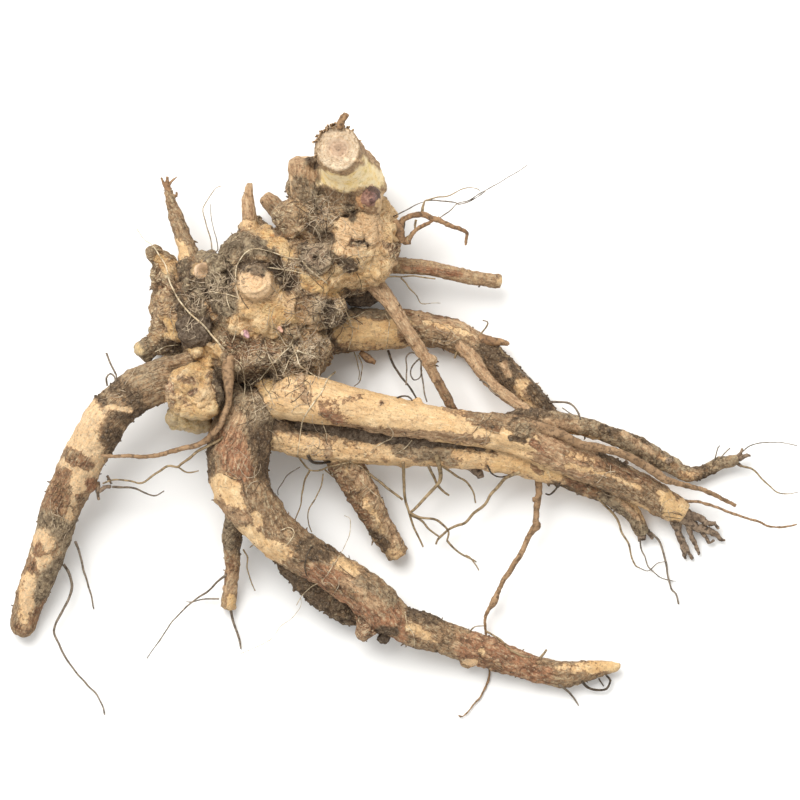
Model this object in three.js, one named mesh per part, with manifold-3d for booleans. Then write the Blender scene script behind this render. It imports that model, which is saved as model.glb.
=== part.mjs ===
// Elecampane rootstock, dug up and shaken clean, standing on a table in the way it grew.
// The knobbly crown carries the cut flowering stem, a bud and old stem scars on its upper side.
// Thick roots leave the crown sideways, arch over and come down to the table.
// Millimetres, +Z up. X runs along the longest spread of the roots, Y away from the viewer.

import * as THREE from "three";
import { mergeVertices } from "three/addons/utils/BufferGeometryUtils.js";
import Module from "manifold-3d";

const wasm = await Module();
wasm.setup();

// Driving dimensions
const stemRadius = 11; // the cut flowering stem
const stemTop = 84; // height of its cut face over the table
const crownTop = 60; // highest lumps of the crown itself
const ringStep = 9; // spacing of the rings along a thick root
const knobbliness = 0.07; // share of the radius that the surface swells and shrinks by
const soilGap = 0.4; // clearance between a soil clod and the root it sits on
const mergeDistance = 0.001; // corners closer than this are one corner
const tableSize = 600;
const tableThickness = 40;

// Each root is a list of stops [x, y, z, radius], from the crown outwards.
const leftRoot = [
  [-92, 16, 33, 10],
  [-112, 12, 38, 10.6],
  [-130, 5, 38, 10.6],
  [-144, -6, 36, 10.8],
  [-152, -18, 33, 10.9],
  [-159, -31, 29, 10.7],
  [-168, -50, 23, 9.6],
  [-174, -70, 17.5, 9.7],
  [-181, -90, 12, 8.9],
  [-187, -106, 7.6, 7.8],
  [-189.5, -115, 6.4, 5.6],
  [-190.5, -118.5, 6, 2.6],
];

const facingStub = [
  [-96, 9, 26, 11],
  [-100, 5, 42, 12.6],
  [-102, 4, 54, 13],
  [-103, 3, 60, 12],
];

const lowerRoot = [
  [-74, 4, 34, 13],
  [-78.5, -12, 37, 14.5],
  [-81, -28, 38, 15],
  [-80, -42, 38, 14],
  [-71.5, -56, 36, 12.2],
  [-58, -70.5, 33, 11],
  [-39, -83.5, 29.5, 10.2],
  [-17, -98, 25, 10.6],
  [-1.5, -110.5, 20, 9.2],
  [20, -118.5, 15, 8.2],
  [44.5, -127, 10.5, 7.4],
  [65.5, -134.5, 7, 6.4],
  [82.5, -137.5, 5.6, 6.2],
  [97.5, -135.5, 5.5, 4.2],
  [105, -134.5, 6, 3],
  [111, -133.5, 6.5, 1.2],
];

const lowerRootSpur = [
  [-14, -106, 22, 6],
  [-17, -114, 19, 5],
  [-19, -119, 17, 3],
];

const underRoot = [
  [-66, -60, 27, 9],
  [-49, -80, 21, 9.4],
  [-35, -94, 15, 9.4],
  [-23, -102, 11, 8.6],
  [-12, -106, 9.4, 7.6],
];

const smallRoot = [
  [-80, -50, 29, 5.6],
  [-84, -68, 21, 5.2],
  [-84, -84, 13, 4.4],
  [-85.5, -97, 7, 4],
  [-86.5, -104.5, 4.8, 4.2],
];

const brokenRoot = [
  [-36, -18, 28, 8],
  [-25, -36, 21, 8],
  [-17, -50, 15.5, 7.4],
  [-9, -65, 9.5, 6.4],
  [-0.5, -78, 5.6, 5.8],
];

const rightUpperRoot = [
  [-66, 2, 36, 10],
  [-50, 1.5, 42, 12],
  [-25, -3.5, 43, 10.3],
  [0, -8.5, 41, 9.4],
  [25, -13, 37, 8.7],
  [45, -15.5, 34, 8.9],
  [62.5, -19, 32, 10],
  [80, -27, 28, 9.6],
  [100, -35, 22.5, 8.7],
  [120, -44.5, 16, 7.9],
  [132.5, -51.5, 11.5, 7.7],
  [142, -57.5, 8.5, 6.8],
];

const rightUnderRoot = [
  [-72, -12, 30, 10],
  [-50, -20.5, 31, 8.2],
  [-25, -23.5, 30, 7.7],
  [0, -25.5, 28.5, 7.5],
  [25, -27, 27, 6.9],
  [50, -30, 24.5, 6.6],
  [70, -34.5, 21, 6.4],
  [90, -41, 16.5, 6.7],
  [105, -48, 12, 6.3],
  [116, -55.5, 8.5, 5.5],
  [124, -66, 5, 4.4],
];

const topRightBranch = [
  [47, -8, 32, 5],
  [60, -7.5, 30, 5],
  [75, -10, 27, 4.9],
  [90, -13, 23.5, 4.4],
  [105, -17.5, 19, 4.9],
  [120, -24, 13.5, 5.5],
  [132.5, -31, 8.5, 5.5],
  [144, -37, 4.9, 4.8],
  [152.5, -36, 5, 4.1],
  [161, -32, 6.5, 3.8],
  [171.5, -29.5, 8.5, 3.2],
];

const thinRightBranch = [
  [64, -12, 37, 3],
  [80, -19.5, 38, 2.5],
  [95, -23, 36, 2.2],
  [110, -26, 32, 2.1],
  [122.5, -32, 27, 2.4],
  [134, -39.5, 22, 2.2],
  [150, -44, 16, 1.5],
  [167.5, -52.5, 10, 1],
];

const rightTipFingers = [
  [
    [142, -57, 9, 4],
    [152, -59, 7.5, 2.6],
    [158.5, -63, 6, 1.4],
  ],
  [
    [142, -58, 7.5, 5],
    [149, -62, 5.8, 4],
    [156, -66, 4.4, 2.4],
    [164, -70.5, 3, 1.4],
  ],
  [
    [137, -58, 8, 4],
    [142.5, -70, 4.6, 2],
    [143, -80, 2, 1],
  ],
  [
    [145, -62, 6, 2.6],
    [147.5, -70, 4, 1.5],
    [150.5, -78, 2.2, 1],
  ],
];

const trailingRootlet = [
  [140, -50, 11, 1.4],
  [150, -51.5, 12, 1.2],
  [170, -57.5, 9, 1],
  [182.5, -62.5, 5.5, 0.9],
  [192.5, -64, 3.4, 0.8],
  [199.5, -62.5, 2.4, 0.7],
];

const backRoot = [
  [-50, 33, 20, 12],
  [-28, 35, 15, 10.6],
  [-7.5, 35.5, 11.5, 10],
  [10, 36, 9, 8.8],
  [25, 33, 7.7, 8.3],
  [37.5, 26.5, 7.3, 7.9],
  [50, 17, 6.8, 7.1],
  [61, 6.5, 6.3, 6.6],
  [70, -2.5, 6.2, 6.3],
  [76, -10, 6.5, 5],
];

const backRootStrand = [
  [31, 27.5, 12, 4.2],
  [37.5, 19, 15, 3.6],
  [45, 9, 19.5, 3.3],
  [55, 1, 24.5, 3.1],
  [63, -4.5, 29, 2.8],
];

const backRootSplinter = [
  [40, 30, 10, 3],
  [47, 29.5, 12, 2],
  [54, 28, 12.5, 1],
];

const crossingRoot = [
  [-14, 60, 32, 5],
  [-5, 48.5, 33, 3.9],
  [3.5, 35, 32, 3.3],
  [12, 22, 30, 3.2],
  [18.5, 10, 26, 2.7],
  [24.5, -1, 22, 2.5],
  [29, -9, 19, 2.2],
];

const farRightRoot = [
  [-17, 71, 27, 5.4],
  [-1.5, 67.5, 25, 4.6],
  [15, 66, 22, 4.1],
  [32.5, 62, 18, 4],
  [50.5, 59.5, 14, 3.7],
];

const sideTwig = [
  [-6, 84, 34, 3.4],
  [-0.5, 86, 36, 2.4],
  [3, 90, 37.5, 1.7],
  [10, 92, 38.5, 1.8],
  [18, 90, 39, 1.6],
  [25, 87, 38, 1.4],
  [32.5, 84.5, 36, 1.4],
  [33, 78, 33, 0.8],
];

const tornRoot = [
  [-103, 58, 26, 6],
  [-106.5, 75, 26, 4.7],
  [-109, 82.5, 25, 4.3],
  [-112.5, 92.5, 23, 3.5],
  [-115, 100, 21, 2.7],
  [-117, 106, 19, 1.8],
  [-117, 111, 17.5, 1],
];

const leftStub = [
  [-108, 42, 26, 12],
  [-115, 58, 27, 9],
  [-120, 69, 29, 6],
  [-123.5, 76.5, 30, 4.2],
];

const upStub = [
  [-75.5, 78, 28, 5.6],
  [-75.5, 92.5, 28, 3.7],
  [-76, 100, 27, 3.1],
  [-75.5, 106, 26.5, 1.9],
  [-75, 109, 26, 0.8],
];

const roundStub = [
  [-50, 82, 26, 6],
  [-61, 94.5, 21, 5.1],
  [-65, 99, 19, 4.9],
  [-68, 102, 17.5, 3.6],
];

const smallCutStub = [
  [-96, 61, 32, 5],
  [-98, 63.5, 42, 4],
  [-99, 64.5, 48, 3.5],
];

const hookRoot = [
  [-84, 24, 44, 4],
  [-85.5, 17, 50, 3.5],
  [-85.5, 8, 53, 2.9],
  [-85, 1, 54, 2.1],
  [-87, -5, 54.5, 1.7],
  [-90, -14, 53.5, 1.5],
  [-97.5, -20.5, 50, 1.5],
  [-110, -24.5, 47, 1.3],
  [-122.5, -27.5, 45.5, 1.2],
  [-138, -28, 44.5, 1],
];

const hangingRootlet = [
  [70, -36, 19, 2.4],
  [70, -50, 17, 1.9],
  [68.5, -61, 15, 2.1],
  [60, -78, 12, 1.6],
  [52.5, -92.5, 9, 1.4],
  [47, -101.5, 6.5, 1.5],
  [43.5, -109, 4, 0.9],
  [42.5, -119, 2, 0.7],
];

const undersideStubs = [
  [
    [-62, 66, 12, 9],
    [-72, 82, 5, 7],
    [-76, 90, 3.2, 5],
  ],
  [
    [-92, 34, 16, 11],
    [-112, 30, 8, 8],
    [-124, 31, 4.4, 5.4],
  ],
  [
    [-60, 12, 18, 12],
    [-56, -8, 9, 8],
    [-50, -18, 5, 5.6],
  ],
];

const stem = [
  [-24, 106, 36, 17],
  [-26, 114, 56, 13.4],
  [-28.5, 121, 72, stemRadius + 0.6],
  [-31, 126.5, stemTop, stemRadius],
];

const oldStem = [
  [-42, 96, 36, 9.5],
  [-47, 108, 45, 7.6],
  [-48, 120, 49, 7],
];

const knob = [
  [-70, 54, 40, 11],
  [-71.5, 59, 56, 9],
  [-72, 61, 64, 8.6],
  [-72.2, 62, 68, 6],
];

const bud = [
  [-18, 96, 44, 9],
  [-15.5, 101, 55, 7],
  [-15, 102.5, 61, 3.6],
];

// Lumps of the crown: centre, then half widths along x, y and z.
const crownLumps = [
  [-27.5, 82.5, 29, 26, 29, 30.5],
  [-32, 105, 30, 23.5, 17, 24],
  [-49, 64, 29, 24, 24, 27],
  [-68, 48, 29, 27, 27, 30],
  [-72, 71, 27, 17, 15, 22],
  [-96, 50, 25, 21, 23, 24],
  [-113, 45, 22, 11, 20, 19],
  [-68, 19, 28, 24, 20, 25],
  [-88, 24, 30, 20, 16, 20],
  [-46, 26, 27, 15, 17, 22],
  [-79, 37, 40, 11, 10, 14],
  [-56, 35, 44, 8, 8, 11],
  [-42, 71, 52, 9, 9, crownTop - 52],
  [-119, 29.5, 27, 7, 5.5, 6],
  [-115, 33, 29, 8, 5.5, 7],
  [-63, 12, 43, 6, 5, 5],
  [61, -15, 38.5, 6.5, 5.5, 5],
];

// Soil that stayed in the crevices: centre, then half widths.
const soilClods = {
  soil_left_crevice: [-102, 33, 47, 9, 7.5, 7],
  soil_under_lobe: [-17, 54.5, 14, 9, 7, 8],
  soil_back_crevice: [-36, 45, 33, 9, 6, 7],
  soil_lower_root: [-8.5, -119.5, 15, 3.6, 3.8, 3.6],
};

// Soil packed in the groove between the two right roots, with stops like a root's.
const grooveSoil = [
  [-52, -11, 38, 3],
  [-25, -16, 37.5, 5.4],
  [0, -19.5, 36.5, 5.4],
  [25, -22, 33.5, 4.6],
  [42, -24, 31, 2.6],
];

// Three waves that cross, each with its length, how far it sways and where it starts.
const swells = [
  { along: "x", swayedBy: "y", length: 19, swayLength: 30, sway: 1.7, start: 0 },
  { along: "y", swayedBy: "z", length: 22, swayLength: 25, sway: 1.3, start: 0.8 },
  { along: "z", swayedBy: "x", length: 17, swayLength: 37, sway: 1.9, start: 2.1 },
];

// How much a surface swells or shrinks at a place, as a share of the radius there.
function knobble(place) {
  let sum = 0;
  for (const wave of swells) {
    const swayed = Math.sin((2 * Math.PI * place[wave.swayedBy]) / wave.swayLength);
    const phase = (2 * Math.PI * place[wave.along]) / wave.length;
    sum += Math.sin(phase + wave.sway * swayed + wave.start);
  }
  return (knobbliness * 2 * sum) / swells.length;
}

// A closed three.js geometry as a solid that can be joined and cut.
function solid(geometry) {
  const bare = new THREE.BufferGeometry();
  bare.setAttribute("position", geometry.getAttribute("position"));
  bare.setIndex(geometry.index);
  const merged = mergeVertices(bare, mergeDistance);
  const mesh = new wasm.Mesh({
    numProp: 3,
    vertProperties: merged.attributes.position.array,
    triVerts: new Uint32Array(merged.index.array),
  });
  return new wasm.Manifold(mesh);
}

function join(solids) {
  return solids.reduce((whole, next) => whole.add(next));
}

function biggestPiece(cut) {
  return cut.decompose().reduce((a, b) => (a.volume() > b.volume() ? a : b));
}

// The radius at a share of a root's length, between the two stops there.
function radiusAt(stops, route, share) {
  const stop = route.getUtoTmapping(share) * (stops.length - 1);
  const before = Math.min(Math.floor(stop), stops.length - 2);
  return THREE.MathUtils.lerp(stops[before][3], stops[before + 1][3], stop - before);
}

// Thick roots get more sides, and rings further apart, than rootlets.
function barDetail(thickest) {
  if (thickest > 7) return { sides: 11, step: ringStep };
  if (thickest > 3) return { sides: 7, step: ringStep };
  return { sides: 5, step: 0.8 * ringStep };
}

// A round bar bent along a root's stops, grown by a given thickness.
function bentRoot(stops, grow) {
  const centres = stops.map(([x, y, z]) => new THREE.Vector3(x, y, z));
  const route = new THREE.CatmullRomCurve3(centres, false, "centripetal");
  const { sides, step } = barDetail(Math.max(...stops.map((stop) => stop[3])));
  const rings = Math.max(3, Math.ceil(route.getLength() / step));
  const frames = route.computeFrenetFrames(rings, false);
  const bar = new THREE.CylinderGeometry(1, 1, 1, sides, rings);
  const corners = bar.getAttribute("position");
  const corner = new THREE.Vector3();
  for (let i = 0; i < corners.count; i++) {
    corner.fromBufferAttribute(corners, i);
    const share = 0.5 - corner.y;
    const ring = Math.round(share * rings);
    const outward = new THREE.Vector3()
      .addScaledVector(frames.normals[ring], corner.x)
      .addScaledVector(frames.binormals[ring], corner.z);
    const radius = radiusAt(stops, route, share);
    corner.copy(route.getPointAt(share)).addScaledVector(outward, radius);
    corner.addScaledVector(outward, radius * knobble(corner) + grow);
    corners.setXYZ(i, corner.x, corner.y, corner.z);
  }
  return solid(bar);
}

// A ball stretched to three half widths, with a knobbly surface.
function lump([x, y, z, wide, deep, high], grow) {
  const detail = Math.max(wide, deep, high) > 18 ? 3 : 2;
  const ball = new THREE.IcosahedronGeometry(1, detail);
  const corners = ball.getAttribute("position");
  const outward = new THREE.Vector3();
  const corner = new THREE.Vector3();
  for (let i = 0; i < corners.count; i++) {
    outward.fromBufferAttribute(corners, i);
    corner.set(x + wide * outward.x, y + deep * outward.y, z + high * outward.z);
    const swell = Math.min(wide, deep, high) * knobble(corner) + grow;
    corner.addScaledVector(outward, swell);
    corners.setXYZ(i, corner.x, corner.y, corner.z);
  }
  return solid(ball);
}

function crown(grow) {
  const stumps = [stem, oldStem, knob, bud, ...undersideStubs];
  return join([
    ...crownLumps.map((each) => lump(each, grow)),
    ...stumps.map((stops) => bentRoot(stops, grow)),
  ]);
}

function leftSide(grow) {
  const roots = [leftRoot, facingStub, tornRoot, leftStub, upStub, roundStub, smallCutStub, hookRoot];
  return join(roots.map((stops) => bentRoot(stops, grow)));
}

function lowerSide(grow) {
  const roots = [lowerRoot, lowerRootSpur, underRoot, smallRoot, brokenRoot];
  return join(roots.map((stops) => bentRoot(stops, grow)));
}

function rightSide(grow) {
  const mains = [rightUpperRoot, rightUnderRoot, topRightBranch, thinRightBranch];
  const ends = [...rightTipFingers, trailingRootlet, hangingRootlet];
  return join([...mains, ...ends].map((stops) => bentRoot(stops, grow)));
}

function backSide(grow) {
  const roots = [backRoot, backRootStrand, backRootSplinter, crossingRoot, farRightRoot, sideTwig];
  return join(roots.map((stops) => bentRoot(stops, grow)));
}

// The whole rootstock, or the same a little thicker all over.
function rootstock(grow) {
  return join([crown(grow), leftSide(grow), lowerSide(grow), rightSide(grow), backSide(grow)]);
}

// What would be below the table. The lowest roots and lumps are flattened by it.
function belowTable() {
  const slab = new THREE.BoxGeometry(tableSize, tableSize, tableThickness);
  slab.translate(0, 0, -tableThickness / 2);
  return solid(slab);
}

function barkMaterial() {
  return new THREE.MeshStandardMaterial({ color: 0xb98f62, roughness: 0.85, metalness: 0 });
}

function soilMaterial() {
  return new THREE.MeshStandardMaterial({ color: 0x3d332b, roughness: 0.95, metalness: 0 });
}

function meshOf(body, name, material) {
  const { vertProperties, triVerts } = body.getMesh();
  const geometry = new THREE.BufferGeometry();
  geometry.setAttribute("position", new THREE.BufferAttribute(vertProperties, 3));
  geometry.setIndex(new THREE.BufferAttribute(triVerts, 1));
  geometry.computeVertexNormals();
  const mesh = new THREE.Mesh(geometry, material);
  mesh.name = name;
  return mesh;
}

const table = belowTable();
const keepOut = rootstock(soilGap).add(table);
const part = new THREE.Group();
part.add(meshOf(rootstock(0).subtract(table), "elecampane_root", barkMaterial()));
for (const [name, size] of Object.entries(soilClods)) {
  const clod = biggestPiece(lump(size, 0).subtract(keepOut));
  part.add(meshOf(clod, name, soilMaterial()));
}
const packedSoil = biggestPiece(bentRoot(grooveSoil, 0).subtract(keepOut));
part.add(meshOf(packedSoil, "soil_root_groove", soilMaterial()));

// The origin is on the table, under the middle of the outline.
const outline = new THREE.Box3().setFromObject(part);
const middle = outline.getCenter(new THREE.Vector3());
part.position.set(-middle.x, -middle.y, 0);

export default part;
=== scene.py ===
import math
import random

import bmesh
import bpy
import numpy as np
from mathutils import Matrix, Vector, noise
from mathutils.bvhtree import BVHTree


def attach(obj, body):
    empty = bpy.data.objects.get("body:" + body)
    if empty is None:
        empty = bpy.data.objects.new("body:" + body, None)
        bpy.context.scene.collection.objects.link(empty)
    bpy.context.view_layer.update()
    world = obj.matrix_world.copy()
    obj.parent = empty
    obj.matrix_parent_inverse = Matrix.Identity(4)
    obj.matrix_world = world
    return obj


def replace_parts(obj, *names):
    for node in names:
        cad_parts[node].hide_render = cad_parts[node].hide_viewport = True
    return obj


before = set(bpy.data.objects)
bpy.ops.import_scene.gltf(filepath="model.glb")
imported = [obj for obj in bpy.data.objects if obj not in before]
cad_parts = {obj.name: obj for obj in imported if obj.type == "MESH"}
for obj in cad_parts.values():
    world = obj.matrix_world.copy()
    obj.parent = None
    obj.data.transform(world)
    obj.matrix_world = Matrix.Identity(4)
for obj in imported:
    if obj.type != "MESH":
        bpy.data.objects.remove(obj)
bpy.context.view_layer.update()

# Without a seed the vector noise would differ from run to run
noise.seed_set(5)

mm = 0.001
# Lists below are in millimetres from the middle of the picture, and this is where that lies in the model
pictureMiddle = Vector((-2.39, 3.03, 0.0))


def place(x, y, z):
    return (Vector((x, y, z)) + pictureMiddle) * mm


# Camera, looking straight down on the crown
cameraView = {
    "lens": 400,  # a long lens keeps near and far parts at one scale
    "sensor": 36,
    "width": 400,  # what the picture shows from side to side
    "level": 30,  # height at which it shows that width
}


def makeCamera():
    lens = bpy.data.cameras.new("camera")
    lens.lens = cameraView["lens"]
    lens.sensor_width = cameraView["sensor"]
    lens.clip_end = 50
    distance = cameraView["width"] * cameraView["lens"] / cameraView["sensor"]
    camera = bpy.data.objects.new("camera", lens)
    camera.location = place(0, 0, cameraView["level"] + distance)
    bpy.context.scene.collection.objects.link(camera)
    bpy.context.scene.camera = camera


makeCamera()
print("camera is in place")


# Shared helpers
def linear(hexColour):
    # sRGB hex to the linear colour that a shader takes
    parts = [int(hexColour[i:i + 2], 16) / 255 for i in (0, 2, 4)]
    return [p / 12.92 if p <= 0.04045 else ((p + 0.055) / 1.055) ** 2.4 for p in parts] + [1.0]


def perMm(size):
    # noise scale whose features are about that many millimetres wide
    return 1 / (size * mm)


def addNode(tree, kind, inputs=None, **settings):
    node = tree.nodes.new(kind)
    for name, value in settings.items():
        setattr(node, name, value)
    for key, value in (inputs or {}).items():
        if isinstance(value, bpy.types.NodeSocket):
            tree.links.new(value, node.inputs[key])
        else:
            node.inputs[key].default_value = value
    return node


def newMaterial(name):
    material = bpy.data.materials.new(name)
    material.use_nodes = True
    tree = material.node_tree
    return material, tree, tree.nodes["Principled BSDF"]


def newPiece(name, mesh, material):
    piece = bpy.data.objects.new(name, mesh)
    bpy.context.scene.collection.objects.link(piece)
    mesh.materials.clear()
    mesh.materials.append(material)
    mesh.polygons.foreach_set("use_smooth", [True] * len(mesh.polygons))
    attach(piece, "root")
    return piece


def modifiedMesh(source, modifiers):
    # the mesh of a mesh or curve with modifiers applied, each a kind and its settings
    holder = bpy.data.objects.new("holder", source)
    bpy.context.scene.collection.objects.link(holder)
    for kind, settings in modifiers:
        modifier = holder.modifiers.new(kind, kind)
        for name, value in settings.items():
            setattr(modifier, name, value)
    graph = bpy.context.evaluated_depsgraph_get()
    made = bpy.data.meshes.new_from_object(holder.evaluated_get(graph))
    bpy.data.objects.remove(holder)
    return made


def smoothStep(low, high, value):
    t = np.clip((value - low) / (high - low), 0, 1)
    return t * t * (3 - 2 * t)


def smoothRoute(stops, spacing):
    # points every so many millimetres on a smooth line through stops of x, y, z and radius
    stops = [np.array(stop, float) for stop in stops]
    ends = [2 * stops[0] - stops[1], *stops, 2 * stops[-1] - stops[-2]]
    points = []
    for a, b, c, d in zip(ends, ends[1:], ends[2:], ends[3:]):
        count = max(1, round(np.linalg.norm(c - b) / spacing))
        for t in np.arange(count) / count:
            bend = (c - a) * t + (2 * a - 5 * b + 4 * c - d) * t**2 + (3 * b - a - 3 * c + d) * t**3
            points.append(b + bend / 2)
    points.append(stops[-1])
    return np.array(points)


def tubesMesh(name, routes, sides):
    # closed tubes that follow lists of x, y, z and radius, all in one mesh
    curve = bpy.data.curves.new(name, "CURVE")
    curve.dimensions = "3D"
    curve.twist_mode = "MINIMUM"
    curve.bevel_depth = 1
    curve.bevel_resolution = (sides - 4) // 2
    curve.use_fill_caps = True
    for route in routes:
        line = curve.splines.new("POLY")
        line.points.add(len(route) - 1)
        for point, (x, y, z, radius) in zip(line.points, route):
            point.co = (*place(x, y, z), 1)
            point.radius = radius * mm
    return modifiedMesh(curve, [])


def meshArrays(mesh):
    # vertices in millimetres from the middle of the picture, and their normals
    points = np.zeros(len(mesh.vertices) * 3)
    normals = np.zeros(len(mesh.vertices) * 3)
    mesh.vertices.foreach_get("co", points)
    mesh.vertices.foreach_get("normal", normals)
    return points.reshape(-1, 3) / mm - np.array(pictureMiddle), normals.reshape(-1, 3)


def moveVertices(mesh, points):
    mesh.vertices.foreach_set("co", ((points + np.array(pictureMiddle)) * mm).ravel())
    mesh.update()


def attributeOf(mesh, name):
    values = np.zeros(len(mesh.vertices))
    mesh.attributes[name].data.foreach_get("value", values)
    return values


def meshFrom(bm, name):
    mesh = bpy.data.meshes.new(name)
    bm.to_mesh(mesh)
    bm.free()
    return mesh


def addLump(bm, lump, subdivisions, turn=Matrix.Identity(4)):
    # an ellipsoid from its middle and half widths
    x, y, z, *halves = lump
    matrix = Matrix.Translation(place(x, y, z)) @ turn @ Matrix.Diagonal((*(half * mm for half in halves), 1))
    bmesh.ops.create_icosphere(bm, subdivisions=subdivisions, radius=1, matrix=matrix)


def noiseOf(points, size, seed):
    # a value from about -1 to 1 at each point, with lumps of about that many millimetres
    shift = Vector((seed * 17.3, seed * 5.1, seed * 9.7))
    return np.array([noise.noise(Vector(p) / size + shift) for p in points])


def nearLine(points, start, end):
    # distance in plan from each point to the line between two places
    start, end = np.array(start, float), np.array(end, float)
    along = end - start
    share = np.clip(((points - start) @ along) / max(along @ along, 1e-9), 0, 1)
    return np.linalg.norm(points - start - share[:, None] * along, axis=1)


# Thick roots: stops of x, y, height and radius, from the crown outwards
roots = {
    "left": [
        (-92, 16, 33, 10), (-112, 12, 38, 10.6), (-130, 5, 38, 10.6), (-144, -6, 36, 10.8),
        (-152, -18, 33, 10.9), (-159, -31, 29, 10.7), (-168, -50, 23, 9.8), (-174.6, -70, 17.5, 9.2),
        (-182, -90, 12, 8.1), (-187.6, -106, 7.8, 7.0), (-189.8, -114, 6.6, 5.9), (-191, -118, 6.2, 3.2),
    ],
    "facingStub": [(-96, 9, 26, 11), (-100, 5, 42, 12.6), (-102, 4, 54, 13), (-103, 3, 60, 12.4)],
    "lower": [
        (-74, 4, 34, 13), (-78.5, -12, 37, 14.5), (-81, -28, 38, 15), (-80, -42, 38, 14),
        (-71.5, -56, 36, 12.2), (-58, -70.5, 33, 11), (-38.4, -82.5, 29.5, 9.3), (-17, -97.4, 25, 10.2),
        (-1.5, -110.5, 20, 9.2), (20, -118.5, 15, 8.2), (44.5, -127, 10.5, 7.4), (65.5, -134.5, 7, 6.4),
        (82.5, -137.5, 5.6, 6.2), (97.5, -135.5, 5.5, 4.4), (105, -134.5, 6, 3), (111, -133.5, 6.5, 1.4),
    ],
    "lowerSpur": [(-14, -106, 22, 6), (-17, -114, 19, 5), (-19, -119, 17, 3)],
    "under": [
        (-66, -60, 27, 9), (-50.4, -81, 21, 9.4), (-37.4, -95.2, 15, 9.4), (-25, -103.4, 11, 8.6),
        (-12, -106, 9.4, 7.6),
    ],
    "small": [
        (-80, -50, 29, 5.6), (-84, -68, 21, 4.6), (-84, -84, 13, 3.6), (-85.5, -97, 7, 3.6),
        (-86.5, -104.5, 4.8, 4),
    ],
    "broken": [
        (-36, -18, 28, 8), (-25, -36, 21, 7.6), (-17, -50, 15.5, 7), (-9, -65, 9.5, 6.2),
        (-0.5, -78, 5.6, 5.8),
    ],
    "rightUpper": [
        (-66, 2, 36, 10), (-50, 1.5, 42, 12), (-25, -3.5, 43, 10.3), (0, -8.5, 41, 9.4), (25, -13, 37, 8.7),
        (45, -15.5, 34, 8.9), (62.5, -19, 32, 10), (80, -27, 28, 9.2), (100, -35, 22.5, 8.4),
        (120, -44.5, 16, 7.7), (132.5, -51.5, 11.5, 7.4), (142, -57.5, 8.5, 6.4),
    ],
    "rightUnder": [
        (-72, -12, 30, 10), (-50, -20.5, 31, 8.2), (-25, -23.5, 30, 7.7), (0, -25.5, 28.5, 7.5),
        (25, -27, 27, 6.9), (50, -30, 24.5, 6.6), (70, -34.5, 21, 6.2), (90, -41, 16.5, 5.6),
        (105, -48, 12, 5), (116, -56, 8.5, 4.4), (122, -67, 5, 3.2),
    ],
    "topRight": [
        (50, -13, 29, 4), (60, -9.5, 30, 4.8), (75, -10, 27, 4.9), (90, -13, 23.5, 4.4),
        (105, -17.5, 19, 4.3), (120, -24, 13.5, 4.6), (132.5, -31, 8.5, 4.4), (144, -37, 4.9, 3.6),
        (152.5, -36, 5, 3.2), (161, -32, 6.5, 3.1), (170, -29.5, 8.5, 2.4),
    ],
    "back": [
        (-50, 33, 20, 12), (-28, 35, 15, 10.6), (-7.5, 35.5, 11.5, 9.8), (10, 36, 9, 8.6), (25, 33, 7.7, 8),
        (37.5, 26.5, 7.3, 7.7), (50, 17, 6.8, 6.9), (61, 6.5, 6.3, 6.2), (70, -2.5, 6.2, 5.8),
        (76, -10, 6.5, 4.6),
    ],
    "strand": [
        (31, 27.5, 12, 4.2), (37.5, 19, 15, 3.4), (45, 9, 19.5, 3), (55, 0.5, 24.5, 3), (63, -4.5, 29, 2.6),
    ],
    "crossing": [
        (-14, 60, 32, 5), (-5, 48.5, 33, 3.9), (3.5, 35, 32, 3.3), (12, 22, 30, 3.1), (18.5, 10, 26, 2.6),
        (24.5, -1, 22, 2.4), (29, -9, 19, 2.1),
    ],
    "farRight": [
        (-17, 71, 27, 5.4), (-1.5, 67.5, 25, 4.4), (15, 66, 22, 3.9), (32.5, 62, 18, 3.7),
        (50.5, 59.5, 14, 3.5),
    ],
    "torn": [
        (-103, 58, 26, 6), (-106.5, 75, 26, 4.5), (-109, 82.5, 25, 4.1), (-112.5, 92.5, 23, 3.3),
        (-115, 100, 21, 2.5), (-116.5, 105, 19, 2.1),
    ],
    "leftStub": [(-108, 42, 26, 12), (-115, 58, 27, 8.6), (-119.4, 68.5, 29, 5.2), (-124.4, 76.8, 30, 2.8)],
    "upStub": [
        (-75.5, 78, 28, 5.6), (-75.5, 92.5, 28, 3.7), (-76, 100, 27, 3.1), (-75.5, 106, 26.5, 2.2),
        (-75, 109, 26, 1.6),
    ],
    "roundStub": [(-50, 82, 26, 6), (-61, 94.5, 21, 4.6), (-65, 99, 19, 4.4), (-68, 102, 17.5, 3.4)],
    "smallCutStub": [(-96, 61, 32, 5), (-98, 63.5, 42, 4.2), (-99, 64.5, 48, 4)],
    "stem": [(-24, 106, 36, 17), (-25.5, 112, 50, 15.2), (-27.8, 118, 62, 12.4), (-31, 124.6, 84, 11.4)],
    "oldStem": [(-42, 96, 36, 9.5), (-47, 108, 45, 7.8), (-48.5, 120, 49, 7)],
    "knob": [(-70, 54, 40, 11), (-71.5, 58, 56, 9.2), (-72, 59.5, 63, 8.6), (-72, 60, 66, 7.4)],
    "budBase": [(-18, 96, 44, 9), (-15.5, 101, 55, 6.4), (-15, 102, 58, 5)],
    "footBack": [(-62, 66, 12, 9), (-72, 82, 5, 7), (-76, 90, 3.2, 5)],
    "footLeft": [(-92, 34, 16, 11), (-112, 30, 8, 8), (-124, 31, 4.4, 5.4)],
    "footFront": [(-60, 12, 18, 12), (-56, -8, 9, 8), (-50, -18, 5, 5.6)],
}

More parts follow.
